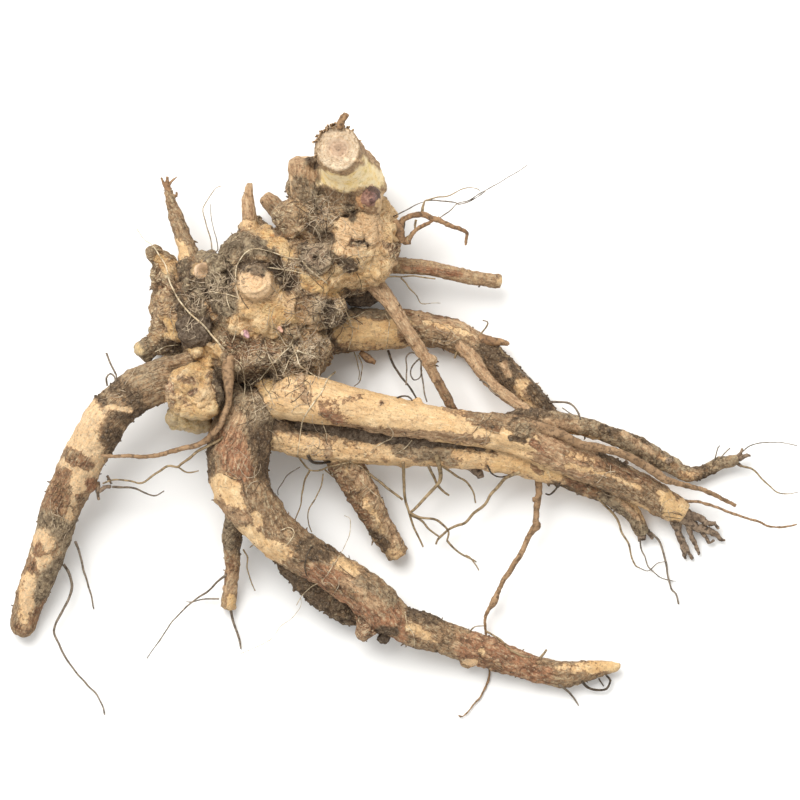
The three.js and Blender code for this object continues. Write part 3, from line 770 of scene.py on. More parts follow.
def rootBark():
    # Dried root skin: a thin brown cork that flaked off cream flesh in places, with soil dried onto both.
    # Matte, streaked along the root, finely speckled, with painted shade in every hollow and a painted
    # highlight on the crests.
    material, tree, shader = newMaterial("rootBark")
    position = addNode(tree, "ShaderNodeTexCoord").outputs["Object"]
    along = addNode(tree, "ShaderNodeAttribute", attribute_name="grain").outputs["Vector"]
    calm, lightShare, rustShare, goldShare, greenShare, cutShare, cavity, ringAt = (
        addNode(tree, "ShaderNodeAttribute", attribute_name=name).outputs["Fac"]
        for name in ("calm", "light", "rust", "gold", "green", "cut", "cavity", "ringAt"))
    # the grain runs along the roots and swirls over the crown
    settings = {"Vector": position, "Scale": perMm(16), "Detail": 2}
    swirl = addNode(tree, "ShaderNodeTexNoise", settings).outputs["Color"]
    swirl = addNode(tree, "ShaderNodeVectorMath", {0: swirl, 1: (24 * mm,) * 3, 2: position},
                    operation="MULTIPLY_ADD").outputs[0]
    course = addNode(tree, "ShaderNodeMix", {0: calm, 4: swirl, 5: along}, data_type="VECTOR").outputs[1]
    drawn, strokes = (
        addNode(tree, "ShaderNodeMapping", {"Vector": course, "Scale": (share, 1, 1)}).outputs[0]
        for share in (0.17, 0.22))
    tone = {name: [linear(part) for part in pair] if isinstance(pair, tuple) else linear(pair)
            for name, pair in skinColours.items()}

    streaks = mottle(tree, drawn, 1.3, 5, 0.32, 0.68)
    blotches = mottle(tree, position, 9, 4, 0.35, 0.65)
    edge = mottle(tree, position, 2.6, 9, 0.3, 0.7)
    edgeFine = mottle(tree, position, 1.5, 5, 0.3, 0.7)
    bare = coatMask(tree, "bare", edge, 0.24)
    # pale and bare places of the roots are plainer than the crown: fewer cracks, strands and fibres
    even = addNode(tree, "ShaderNodeMath", {0: lightShare, 1: calm}, operation="MULTIPLY").outputs[0]
    even = addNode(tree, "ShaderNodeMath", {0: even, 1: bare}, operation="MAXIMUM").outputs[0]
    plain, shaggy, faded = (
        addNode(tree, "ShaderNodeMapRange", {0: fac, 3: most, 4: least}).outputs[0]
        for fac, most, least in ((even, 1.0, 0.22), (calm, 0.85, 0.26), (calm, 0.85, 0.12)))
    patchy = mottle(tree, position, 5, 3, 0.38, 0.62, 0.8)
    cracks = (crackLines(tree, position, 2.8, 0.1, patchy), crackLines(tree, drawn, 2.2, 0.09, patchy))
    plates, splits = (addNode(tree, "ShaderNodeMath", {0: lines, 1: plain}, operation="MULTIPLY").outputs[0]
                      for lines in cracks)
    strands = mottle(tree, strokes, 1.0, 3, 0.52, 0.6, shaggy)
    paleStrands = mottle(tree, strokes, 1.0, 3, 0.46, 0.38, faded)

    # cork, then the flesh where it is bare, with a thin film of dirt
    patterns = {"darkCork": streaks, "lightCork": streaks, "rust": streaks, "flesh": blotches,
                "gold": blotches, "dust": edgeFine, "soil": edgeFine}
    paint = {name: blended(tree, tone[name][0], (pattern, tone[name][1]))
             for name, pattern in patterns.items()}
    goldMask, pinkMask, greenMask, cutMask, film = (
        addNode(tree, "ShaderNodeMapRange", {0: fac, 4: most}).outputs[0]
        for fac, most in ((goldShare, 0.6), (rustShare, 0.75), (greenShare, 0.8), (cutShare, 0.85),
                          (calm, 0.36)))
    cork = blended(tree, paint["darkCork"], (lightShare, paint["lightCork"]),
                   (coatMask(tree, "rust", edge, 0.4, 0.7), paint["rust"]),
                   (mottle(tree, position, 1.1, 3, 0.45, 0.3, 0.4), tone["dust"][1]),
                   (strands, tone["strand"]), (paleStrands, tone["paleFleckAndHighlight"]))
    green = blended(tree, tone["green"][0], (mottle(tree, position, 5, 4, 0.4, 0.6), tone["green"][1]),
                    (mottle(tree, position, 4, 4, 0.54, 0.64, 0.6), tone["ochre"]),
                    (mottle(tree, position, 1.2, 3, 0.58, 0.68, 0.5), tone["fleshStrand"]))
    flesh = blended(tree, paint["flesh"], (goldMask, paint["gold"]), (pinkMask, tone["pink"]),
                    (greenShare, green),
                    (mottle(tree, drawn, 1.1, 5, 0.4, 0.7, 0.42), tone["fleshStreak"]),
                    (mottle(tree, position, 5, 5, 0.48, 0.66, 0.45), paint["lightCork"]),
                    (strands, tone["fleshStrand"]), (film, tone["film"]))
    # a brown rim where the cork broke off, which is also a painted shadow under the cork's edge
    halfway = addNode(tree, "ShaderNodeMath", {0: bare, 1: 0.5}, operation="SUBTRACT").outputs[0]
    halfway = addNode(tree, "ShaderNodeMath", {0: halfway}, operation="ABSOLUTE").outputs[0]
    rim = addNode(tree, "ShaderNodeMapRange", {0: halfway, 1: 0.5, 2: 0.1, 4: 0.55}).outputs[0]
    skin = blended(tree, cork, (bare, flesh), (rim, tone["rim"]),
                   (mottle(tree, drawn, 0.8, 3, 0.58, 0.7, 0.6), tone["paleFleckAndHighlight"]))

    # dust, soil, which also carries painted shade in hollows, folds and gaps, and dark specks
    soilTone = blended(tree, paint["soil"], (mottle(tree, position, 0.9, 3, 0.44, 0.3), tone["paleCrumb"]))
    skin = blended(tree, skin, (coatMask(tree, "dust", edgeFine, 0.45, 0.7), paint["dust"]),
                   (coatMask(tree, "soil", edge, 0.38, 0.92), soilTone),
                   (mottle(tree, position, 0.9, 3, 0.56, 0.7, 0.6), tone["speck"]),
                   (plates, tone["crack"]), (splits, tone["crack"]))

    # cut wood, in rings
    uneven = {0: edge, 1: 1.6 * mm, 2: ringAt}
    rough = addNode(tree, "ShaderNodeMath", uneven, operation="MULTIPLY_ADD").outputs[0]
    ringTurns = {0: rough, 1: 2 * math.pi / (1.7 * mm)}
    turns = addNode(tree, "ShaderNodeMath", ringTurns, operation="MULTIPLY").outputs[0]
    wave = addNode(tree, "ShaderNodeMath", {0: turns}, operation="SINE").outputs[0]
    wave = addNode(tree, "ShaderNodeMapRange", {0: wave, 1: -1.0, 2: 1.0, 4: 0.5}).outputs[0]
    pith = addNode(tree, "ShaderNodeMapRange", {0: rough, 1: 7.4 * mm, 2: 4.2 * mm, 4: 0.6}).outputs[0]
    wood = blended(tree, tone["wood"][0], (wave, tone["wood"][1]),
                   (mottle(tree, position, 2.4, 5, 0.42, 0.6, 0.6), tone["wood"][1]),
                   (mottle(tree, position, 1.1, 4, 0.56, 0.68, 0.6), tone["darkCork"][0]),
                   (pith, tone["pith"]), (mottle(tree, position, 1.3, 3, 0.6, 0.68, 0.5), tone["strand"]))

    # painted shade darkens the hollows and a painted highlight lightens the crests
    hollowShadeShare = addNode(tree, "ShaderNodeMapRange", {0: cavity, 1: 0.15, 2: 1.6, 4: 0.85}).outputs[0]
    crestHighlightShare = addNode(tree, "ShaderNodeMapRange", {0: cavity, 1: -0.3, 2: -1.8, 4: 0.42}).outputs[0]
    skin = blended(tree, skin, (crestHighlightShare, tone["paleFleckAndHighlight"]), (greenMask, green), (cutMask, wood),
                   (hollowShadeShare, tone["hollowShade"]))
    tree.links.new(skin, shader.inputs["Base Color"])

    # relief too fine for the mesh, drawn a little coarser than life so that it shows
    flake = addNode(tree, "ShaderNodeMath", {0: 1.0, 1: bare}, operation="SUBTRACT").outputs[0]
    peeled = addNode(tree, "ShaderNodeBump", {"Height": flake, "Distance": 0.4 * mm, "Strength": 0.8})
    grit = streaks
    for relief, height in ((edgeFine, 0.8), (plates, -0.9), (splits, -0.7)):
        settings = {0: relief, 1: height, 2: grit}
        grit = addNode(tree, "ShaderNodeMath", settings, operation="MULTIPLY_ADD").outputs[0]
    clean = addNode(tree, "ShaderNodeMath", {0: bare, 1: calm}, operation="MULTIPLY").outputs[0]
    clean = addNode(tree, "ShaderNodeMapRange", {0: clean, 3: 1.0, 4: 0.4}).outputs[0]
    gritty = addNode(tree, "ShaderNodeBump", {"Height": grit, "Distance": 0.6 * mm, "Strength": clean,
                                              "Normal": peeled.outputs[0]})
    tree.links.new(gritty.outputs[0], shader.inputs["Normal"])
    dull = addNode(tree, "ShaderNodeMapRange", {0: bare, 3: 0.9, 4: 0.62}).outputs[0]
    tree.links.new(dull, shader.inputs["Roughness"])
    shader.inputs["Specular IOR Level"].default_value = 0.3
    return material


body = newPiece("rootSkin", makeSkin(), rootBark())
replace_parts(body, "elecampane_root")
print("skin is done with", sum(len(face.vertices) - 2 for face in body.data.polygons), "triangles")


# Twigs, torn tips and stubs too thin for the skin: stops of x, y, height and radius. Here and below,
# a skin has a name and its light, dark and spot colours.
twigs = {
    "sides": 12,
    "spacing": 0.9,
    "wander": 0.6,  # how far they stray from a smooth line
    "relief": {"bark": 0.4, "orange": 0.35, "dark": 0.7},  # millimetres
    "skins": {
        "bark": ("twigBark", "a68460", "7f6044", "4d3c2e"),
        "orange": ("twigOrangeBark", "ac8c6a", "826649", "5a4735"),
        "dark": ("twigDarkBark", "a8927a", "5e4b3b", "30271f"),
    },
    "bark": [
        [(-6, 84, 34, 3.4), (-0.5, 86, 36, 2.4), (2.5, 90.5, 37.5, 1.5), (11, 92.5, 38.5, 1.5),
            (16, 90.5, 39, 1.5), (20, 89.5, 39, 1.3), (25, 87, 38, 1.2), (30, 85.5, 37, 1.1),
            (33, 84, 36, 1), (33.5, 81, 34.5, 0.8), (32.5, 77, 33, 0.6)],
        [(-2.5, 89, 38, 2.0), (-0.5, 84, 40, 2.9), (0.6, 78, 39, 2.2)],
        [(3.2, 77.5, 38, 1.2), (3.4, 78.4, 38, 2.4), (4.6, 81, 38.5, 1.4), (7.5, 84.5, 39, 1.1),
            (13, 87.5, 39, 0.9), (19.5, 91, 39, 0.6)],
        [(40, 30.5, 11, 3), (47, 29.5, 12.5, 2.2), (53, 28.5, 13, 1.4), (54.5, 27.5, 13, 0.7)],
        [(-20, 24, 12, 1.2), (-16, 21, 12, 2), (-12.5, 19, 12, 1)],
        [(-116, 104, 19.5, 1.7), (-118, 108, 18.5, 1.1), (-119.7, 111.5, 18, 0.5)],
        [(-116, 104, 19.5, 2), (-116.8, 108, 18.5, 1.4), (-116.5, 112, 18, 0.7)],
        [(-116.5, 107, 19, 1), (-114, 110, 18.5, 0.7), (-112, 112, 18.5, 0.3)],
        [(-114, 102, 20, 1.2), (-112, 102.5, 20, 0.8), (-112, 104.5, 20, 0.4)],
        [(-30, 134.5, 82, 1.8), (-29, 137.6, 84, 1.9), (-27.4, 140.2, 84.6, 1.7), (-26.9, 142, 84.6, 0.9)],
        [(-29, 137.6, 84, 1.5), (-26.6, 139.8, 84.6, 1.2), (-25.4, 141.2, 84.6, 0.7)],
        [(-83, 20, 38, 3), (-85, 12, 44, 2.6), (-86, 4, 45, 2), (-87, -4, 42, 1.6), (-88, -10, 39, 1.2)],
    ],
    "orange": [
        [(64, -12, 37, 3), (80, -17, 38, 2.4), (90, -22, 37, 2.1), (100, -24, 34.5, 2.1),
            (110, -26.5, 32, 2), (120, -31, 28, 2.1), (127.5, -36, 24, 2.2), (132.5, -40, 22, 2),
            (140, -42, 19, 1.5), (150, -44.5, 15.5, 1.2), (160, -48.5, 12, 1.1), (168.5, -53, 9.5, 0.9)],
        [(-84, 24, 44, 4), (-85.5, 17, 50, 3.3), (-85.5, 8, 53, 2.6), (-85, 1, 54, 1.8),
            (-86, -4, 54.5, 1.6), (-89, -11, 54, 1.5), (-93, -16.5, 52, 1.5), (-99, -21.5, 49.5, 1.4),
            (-110, -24.5, 47, 1.3), (-122.5, -27.5, 45.5, 1.1), (-138, -28, 44.5, 0.9),
            (-149, -27.5, 44, 0.8)],
        [(70, -36, 19, 2.4), (69.5, -45, 17.8, 1.7), (69, -52, 16.5, 1.7), (68, -60, 15, 1.5),
            (68.5, -63, 14.5, 2.3), (66.5, -66, 14, 1.6), (63.5, -71, 13, 1.4), (60, -78, 12, 1.4),
            (56, -84, 11, 1.4), (52.5, -90, 10, 1.3), (50, -96, 9, 1.2), (47, -101.5, 8, 1.9),
            (44.5, -105, 7, 1), (43, -110, 6, 0.8), (42.5, -116, 4, 0.6), (43.5, -122, 1.8, 0.6),
            (45, -134, 1.2, 0.6), (44.5, -140, 1.2, 0.6), (42.5, -146, 1, 0.55), (39, -151, 1, 0.5),
            (35, -156, 1, 0.45), (31.5, -159, 0.9, 0.4), (29.5, -158.5, 0.9, 0.4)],
        [(69, -49.5, 17, 1.6), (66.5, -50, 17, 1.1)],
        [(140, -50.5, 11, 1), (150, -51.5, 11.5, 0.75), (160, -54.5, 10.5, 0.65), (170, -58, 9, 0.6),
            (180, -61, 7, 0.6), (185, -63.5, 5, 0.55), (192.5, -64, 3.4, 0.5), (199.5, -62.5, 2.4, 0.45)],
        [(-158, -43, 27, 3.5), (-153, -42.5, 26, 2.2), (-151, -42, 25.5, 1.2)],
    ],
    "dark": [
        [(142, -57, 9, 3.4), (150, -59, 7.5, 1.9), (154, -62, 7, 1.5), (158, -62.5, 6, 1.1),
            (160.5, -65, 5.6, 0.5)],
        [(140, -58, 8, 4), (145, -61, 7, 2.6), (149, -64.5, 6, 2.0), (152.5, -65, 5, 2.2),
            (159, -67.5, 4, 1.4), (161, -70, 3.4, 1.0), (163.5, -70.5, 3, 0.6)],
        [(138, -58, 8, 3.4), (139.5, -66, 6, 2.0), (142, -72.5, 4.4, 1.6), (143.5, -80, 2.4, 0.6)],
        [(143, -72, 4.2, 1.2), (147.5, -80, 2, 0.6)],
        [(145, -62, 6, 2), (146.5, -68, 5, 1.3), (148.5, -72.5, 4, 1.2), (150.5, -78, 2.2, 0.5)],
        [(148, -62, 6, 1.5), (153, -68, 4, 1), (155, -71.5, 3.6, 0.8), (157.5, -70.5, 3, 0.5)],
        [(122, -68, 5, 2), (122.5, -70.5, 4.5, 1)],
        [(124, -66, 5, 1.6), (127.5, -69.5, 4.4, 0.7)],
        [(120.5, -68, 5, 1.2), (120.5, -71, 4.5, 0.6)],
        [(168, -30, 8, 1.8), (171.5, -26, 9, 0.9), (172, -24.5, 9, 0.5)],
        [(168, -30, 8, 2), (173, -28.5, 8.5, 1.2), (176, -28, 8.5, 0.6)],
        [(168, -31, 8, 1.4), (172, -33, 7.5, 0.7)],
        [(134, -31, 12, 2), (137, -29.5, 13, 1.2)],
        [(95, -28, 24, 0.7), (102.5, -29.5, 24, 0.7), (108.5, -30.5, 24, 0.7)],
        [(112.5, -30.5, 24, 0.9), (114, -32, 24, 0.9)],
        [(30, -30, 24, 3), (38, -35, 21, 2.6), (40.5, -38.5, 19, 1.8)],
        [(-151.5, -41, 25, 1.4), (-151.3, -46, 25, 1.2), (-151, -50, 25, 0.8)],
        [(-151, -46, 25, 1.2), (-147, -43.5, 25, 1), (-144.5, -43, 25, 0.8)],
        [(-144.5, -42, 25, 0.8), (-146.5, -38, 25, 0.6)],
        [(1.5, -28, 27, 3), (1.5, -33, 25, 1.6)],
    ],
}

# Rootlets: height and radius at both ends, then places in plan. They are laid over whatever is below them.
rootlets = {
    "sides": 6,
    "spacing": 1.3,
    "wander": 0.5,
    "thickness": {"pale": 0.56, "tan": 0.72, "grey": 0.85, "dark": 0.8},  # of the radii below
    "skins": {
        "pale": ("paleRootlet", "e4d6b8", "b8a07c", "8a7658"),
        "tan": ("tanRootlet", "aa9472", "867152", "584936"),
        "grey": ("greyRootlet", "938472", "6c5f50", "40362c"),
        "dark": ("darkRootlet", "6a5a48", "42382d", "2b231c"),
    },
    "pale": [
        (34, 50, 0.35, 0.9, [(-131.5, 85.5), (-127.5, 80), (-124, 77.5), (-120, 72.5), (-117, 67.5),
            (-115, 60), (-111, 51), (-105, 44), (-97.5, 36.5), (-92.5, 31), (-87.5, 25)]),
        (20, 20, 0.45, 0.45, [(-80, 50), (-81.5, 57.5), (-81.5, 65), (-80, 69), (-76, 74), (-71, 75.5),
            (-65, 74), (-57.5, 71.5), (-50, 70)]),
        (20, 20, 0.55, 0.5, [(-48.5, 69), (-45, 65), (-40, 61), (-36.5, 58)]),
        (20, 20, 0.5, 0.5, [(-66, 66), (-60, 65), (-52.5, 64), (-45, 62)]),
        (20, 20, 0.3, 0.3, [(-57, 69), (-58, 57.5)]),
        (20, 20, 0.35, 0.35, [(-95, 54), (-87.5, 53), (-80, 51)]),
        (20, 20, 0.35, 0.35, [(-86, 58.5), (-86, 50), (-84.5, 45)]),
        (20, 20, 0.4, 0.4, [(-81.5, 34.5), (-83.5, 28.5)]),
        (20, 20, 0.8, 0.4, [(-32.5, 14), (-36.5, 10), (-39, 4), (-45, -4), (-48.5, -10), (-49.5, -16),
            (-50.5, -22.5), (-51, -27.5)]),
        (20, 20, 0.5, 0.3, [(-39, -10.5), (-37, -16), (-36.5, -20)]),
        (20, 20, 0.35, 0.3, [(-6.5, -12), (-3.5, -16), (-4.5, -19), (-7.5, -20.5), (-13, -24)]),
        (20, 20, 0.35, 0.3, [(6, -20), (2.5, -24), (-2.5, -27)]),
        (20, 20, 0.5, 0.4, [(-30, 50), (-27.5, 45), (-25, 39), (-24, 33.5), (-26, 25)]),
        (20, 20, 0.45, 0.35, [(-27.5, 41), (-22.5, 41.5), (-17.5, 44.5)]),
        (20, 16, 0.4, 0.3, [(-7.5, 43.5), (-5.5, 39), (-6, 32.5), (-7, 25)]),
        (20, 20, 0.4, 0.4, [(-52.5, 25), (-45, 22.5), (-39.5, 20), (-34.5, 18.5)]),
        (20, 20, 0.6, 0.5, [(-54, 28.5), (-51.5, 22.5), (-50, 17.5), (-45, 13.5), (-41, 11),
            (-37.5, 10.5)]),
        (20, 20, 0.45, 0.4, [(-70, 10), (-65, 16), (-57.5, 24), (-52.5, 29)]),
        (20, 20, 0.4, 0.4, [(-61, 10), (-62, 15), (-65, 21), (-67, 27.5), (-67.5, 30)]),
        (20, 20, 0.35, 0.3, [(-58.5, 12.5), (-55, 20), (-50, 25)]),
        (20, 20, 0.3, 0.3, [(-60, 32.5), (-56, 27), (-53, 31)]),
        (20, 20, 0.35, 0.3, [(-84, 22), (-79, 17), (-77, 8), (-78, 0), (-79, -5)]),
        (20, 20, 0.35, 0.3, [(-79.5, 12), (-76, 7), (-70, 11)]),
        (20, 20, 0.3, 0.3, [(-75, 8), (-73, 0), (-72, -6)]),
        (22, 14, 0.4, 0.3, [(-20, -40), (-14, -46), (-10, -49)]),
        (26, 24, 0.4, 0.3, [(-25, -31), (-19, -34), (-15, -38)]),
        (20, 16, 0.35, 0.3, [(-41, -91.5), (-45, -94), (-49, -97.5), (-52, -103)]),
        (20, 20, 0.5, 0.3, [(-59.5, -65), (-55, -63.5), (-53, -66), (-55, -70), (-56.5, -72.5)]),
        (20, 20, 0.35, 0.3, [(2.5, -106), (4, -112.5), (6.5, -117.5), (7.5, -124)]),
        (20, 20, 0.4, 0.3, [(-122.5, 24), (-117.5, 26.5), (-112.5, 27.5), (-110, 27.5)]),
        (20, 20, 0.3, 0.3, [(-119, 22), (-121, 26)]),
        (12, 14, 0.3, 0.3, [(-28, -58), (-25, -60), (-25.5, -67.5), (-27.5, -72.5), (-31, -79),
            (-36, -86.5)]),
        (3, 2, 0.25, 0.2, [(-80, -127.5), (-74, -125), (-66, -121), (-60, -114), (-55, -110), (-50, -104),
            (-50, -100)]),
    ],
    "tan": [
        (50, 34, 1, 0.6, [(-88, -18.5), (-92.5, -21.5), (-100, -25), (-105, -29), (-109, -32),
            (-111, -33.5), (-116, -33), (-121, -36), (-126, -40), (-130, -41.5), (-135, -40.5),
            (-142.5, -40), (-148.5, -42)]),
        (40, 40, 0.6, 0.5, [(-110.5, -33.5), (-107.5, -35.5), (-104, -36), (-100.5, -35.5)]),
        (26, 8, 1.2, 0.6, [(1.5, -31), (2, -37.5), (2, -45), (3, -50), (4.5, -56), (6.5, -62.5), (9, -68.5),
            (11.5, -74)]),
        (22, 20, 1, 0.8, [(-16.5, -36), (-10, -41), (-5, -45), (1.5, -50)]),
        (27, 17, 1.7, 1, [(18, -27.5), (20, -35), (20, -40), (18, -43), (12.5, -49), (7.5, -54),
            (5, -56.5)]),
        (22, 15, 1.1, 0.7, [(14, -32.5), (16.5, -37.5), (18.5, -42.5), (21.5, -46), (24.5, -48)]),
        (24, 12, 0.9, 0.5, [(21, -33), (27.5, -37.5), (33, -41), (36.5, -46), (38, -51.5)]),
        (17, 10, 0.9, 0.7, [(5, -56.5), (10, -59), (17.5, -60), (22.5, -63), (24.5, -66.5), (23.5, -70.5)]),
        (16, 9, 0.9, 0.6, [(5.5, -58), (10, -60), (15, -65), (20, -69)]),
        (20, 8, 1.3, 0.8, [(60, -36), (54, -38.5), (49, -43.5), (45, -47.5), (42.5, -52.5), (37.5, -56.5),
            (32.5, -61.5), (27.5, -63.5), (22.5, -66.5), (19, -70), (18, -72.5)]),
        (9, 3, 0.8, 0.5, [(23.5, -70.5), (27.5, -75), (32.5, -78.5), (38.5, -81.5)]),
        (5, 3, 0.6, 0.4, [(33, -78), (36, -80), (39.5, -85.5)]),
        (16, 12, 0.5, 0.4, [(34, -117), (37.5, -114), (42, -113.5)]),
        (10, 9, 0.7, 0.6, [(43, -116), (47.5, -118.5), (51.5, -121.5), (55, -125), (60, -128),
            (65, -129.5)]),
        (9, 10, 1, 0.7, [(70.5, -129.5), (72, -127.5), (73.5, -125.5)]),
        (8, 1.5, 0.9, 0.5, [(100, -50), (106, -56), (109.5, -61), (112, -67), (115, -72.5), (116.5, -79),
            (118.5, -83.5), (120.5, -84.5)]),
        (8, 1, 0.8, 0.25, [(171, -33), (177.5, -35), (182.5, -40), (189, -46), (195, -47), (200, -46.5)]),
        (12, 8, 0.4, 0.3, [(-23, 24), (-21.5, 19), (-20.5, 14), (-21, 10)]),
        (12, 8, 0.4, 0.3, [(-21, 22.5), (-19, 17.5), (-19.5, 12.5), (-20.5, 9), (-23, 7)]),
        (24, 24, 0.6, 0.5, [(-51.5, -27.5), (-48.5, -31.5), (-45, -35), (-39, -35), (-35, -33),
            (-27.5, -31.5), (-22.5, -29.5)]),
        (24, 22, 0.5, 0.4, [(-37.5, -35), (-33.5, -38.5)]),
        (22, 10, 0.8, 0.4, [(-45, -35), (-47.5, -40), (-49, -46), (-50, -52.5), (-53, -61.5)]),
        (22, 12, 0.5, 0.4, [(-38.5, -37), (-39.5, -43.5), (-42.5, -50), (-45.5, -55), (-46, -61),
            (-44.5, -66.5)]),
        (20, 4, 0.6, 0.4, [(-78.5, -75), (-76.5, -79), (-76.5, -85), (-75, -91), (-73, -96)]),
        (22, 20, 0.5, 0.4, [(-72.5, -71.5), (-75, -74)]),
        (38, 38, 1.2, 0.6, [(11, 93), (11.5, 96.5), (12.5, 99.5)]),
        (38, 36, 0.6, 0.2, [(12.5, 99.5), (17.5, 101), (22.5, 101.5), (27.5, 103.5), (31.5, 105.5),
            (35, 106), (39, 105), (40, 104)]),
        (38, 38, 0.9, 0.6, [(8, 90), (7.5, 86), (8.5, 84)]),
        (38, 40, 0.7, 0.6, [(15, 88), (10, 85.5), (6, 83.5), (3.5, 81), (4, 79)]),
        (30, 25, 0.6, 0.5, [(-8, 61.5), (0, 61.5), (7.5, 62), (17.5, 60.5)]),
        (30, 20, 0.6, 0.2, [(0.5, 61), (3, 58.5), (5.5, 55), (8.5, 51.5), (10.5, 48.5), (15, 48.5),
            (20, 48.5)]),
        (45, 50, 0.4, 0.25, [(-93.5, 74), (-95, 82.5), (-98, 94), (-97, 97.5), (-95, 100.5), (-92, 105),
            (-89, 106.5)]),
        (12, 16, 0.6, 0.4, [(40, 32.5), (43.5, 37), (44, 39), (41.5, 40)]),
        (18, 12, 0.6, 0.5, [(50, 26), (52.5, 22), (55, 21.5)]),
        (12, 14, 1, 0.7, [(28.5, 24), (27.5, 21)]),
    ],
    "grey": [
        (10, 1, 0.9, 0.4, [(-169, -82.5), (-166, -87.5), (-165, -94), (-166.5, -100), (-170, -106.5),
            (-173, -112.5), (-174, -117.5), (-171, -124), (-167, -131.5), (-162.5, -137.5), (-157.5, -143),
            (-152.5, -148.5), (-149.5, -154), (-148.5, -158.5)]),
        (12, 1, 0.8, 0.4, [(-163, -71), (-161, -76.5), (-159, -85), (-157, -92.5), (-155, -100),
            (-154, -105)]),
        (40, 40, 0.6, 0.5, [(-146.5, 23.5), (-144, 17.5), (-141.5, 12.5), (-142, 9)]),
        (40, 40, 0.6, 0.5, [(-146, 7), (-146.5, 11), (-144.5, 13), (-142.5, 11.5), (-142, 9.5)]),
        (25, 12, 0.7, 0.4, [(-144, -43.5), (-137.5, -43.5), (-132.5, -44.5), (-127.5, -47), (-122.5, -48),
            (-118.5, -46)]),
        (8, 1, 0.7, 0.3, [(-87, -87.5), (-92, -91.5), (-97.5, -97), (-102.5, -100), (-109, -105.5),
            (-115, -112.5), (-121, -121), (-127.5, -130)]),
        (5, 2, 0.5, 0.3, [(-91, -100), (-97.5, -100), (-104, -101.5), (-107.5, -101.5)]),
        (4, 1, 0.9, 0.5, [(-85, -106), (-84, -111), (-82, -117), (-80.5, -122.5), (-80, -125)]),
        (18, 12, 0.6, 0.4, [(60, 14.5), (66, 10), (70, 5), (73, 1.5)]),
        (9, 24, 0.7, 0.6, [(75, -1), (82.5, -1), (86.5, -3), (89.5, -6.5), (90.5, -10)]),
        (12, 22, 0.35, 0.3, [(81.5, -4), (88, -8.5)]),
        (18, 16, 0.5, 0.4, [(40, 10), (43, 8.5), (46, 4.5), (50, 2)]),
        (9, 4, 0.4, 0.25, [(172, -26), (176, -23), (182.5, -21.5), (190, -21.5), (200, -23)]),
        (9, 9, 0.4, 0.3, [(158, -30.5), (160, -24), (161, -23)]),
        (9, 9, 0.35, 0.3, [(161, -29), (165, -25), (166, -24)]),
        (3, 0.8, 0.8, 0.4, [(80, -143), (84, -146), (87.5, -150), (90, -154)]),
        (4, 1.2, 0.7, 0.5, [(126, -66.5), (130, -70.5), (132.5, -76), (134, -82.5), (135, -89),
            (136.5, -95), (139, -97.5), (140, -102.5)]),
        (4, 1, 0.5, 0.25, [(120.5, -68.5), (121, -74), (123, -78.5), (125, -84), (130, -88.5), (135, -90.5),
            (139, -91)]),
        (1.5, 1, 0.3, 0.25, [(120.5, -84.5), (125, -86), (129, -82.5), (133.5, -81.5)]),
        (38, 34, 0.45, 0.2, [(12.5, 99.5), (20, 99.5), (27.5, 98.5), (29, 97.5), (34, 99), (39, 101.5),
            (42.5, 104)]),
        (39, 30, 0.35, 0.22, [(20, 91), (25, 94.5), (29, 98), (35, 100), (41, 104), (50, 109),
            (57.5, 113.5), (64, 117.5)]),
        (45, 50, 0.35, 0.22, [(-98, 69), (-93.5, 73), (-91, 75), (-91.5, 80), (-93, 86), (-94.5, 97.5)]),
        (28, 18, 0.45, 0.4, [(3, 7.5), (3.5, 15), (3, 21), (5, 23.5), (7.5, 23.5)]),
        (28, 18, 0.45, 0.4, [(10, 21), (6.5, 17), (5.5, 13), (7, 10), (10, 11.5), (11, 15)]),
        (28, 22, 0.5, 0.4, [(10.5, 20), (11, 12.5), (12, 5), (13.5, -1)]),
        (24, 18, 0.3, 0.25, [(-50, -33.5), (-56, -37.5), (-58.5, -41), (-61, -45), (-61, -47.5)]),
    ],
    "dark": [
        (8, 14, 0.8, 0.6, [(-6, 25), (-4, 19), (0, 12.5), (4, 7.5), (8, 1)]),
        (38, 38, 0.6, 0.5, [(-1.5, 1), (1, 2), (4, 2), (6, -0.5)]),
        (24, 24, 1.1, 0.8, [(-46, -27.5), (-44, -31), (-40, -31.5), (-35, -30.5)]),
        (20, 20, 0.5, 0.4, [(-43.5, -72.5), (-46.5, -77.5), (-47.5, -82.5), (-46.5, -87.5)]),
        (38, 38, 0.4, 0.3, [(-3.5, 91.5), (2.5, 94.5), (7.5, 97), (11.5, 98.5)]),
        (38, 38, 0.4, 0.3, [(2.5, 91), (2, 86), (0.5, 81)]),
        (20, 18, 0.6, 0.4, [(43.5, -32.5), (46, -36.5), (50, -38.5), (55, -38)]),
        (14, 12, 0.7, 0.5, [(80, -41.5), (78, -45), (75, -47.5), (73, -47)]),
        (3, 3, 0.9, 0.7, [(91.5, -141.5), (95, -145), (100, -146), (104, -145), (106, -141),
            (104, -138.5)]),
        (3, 2, 0.5, 0.4, [(100, -140), (102.5, -144)]),
    ],
}

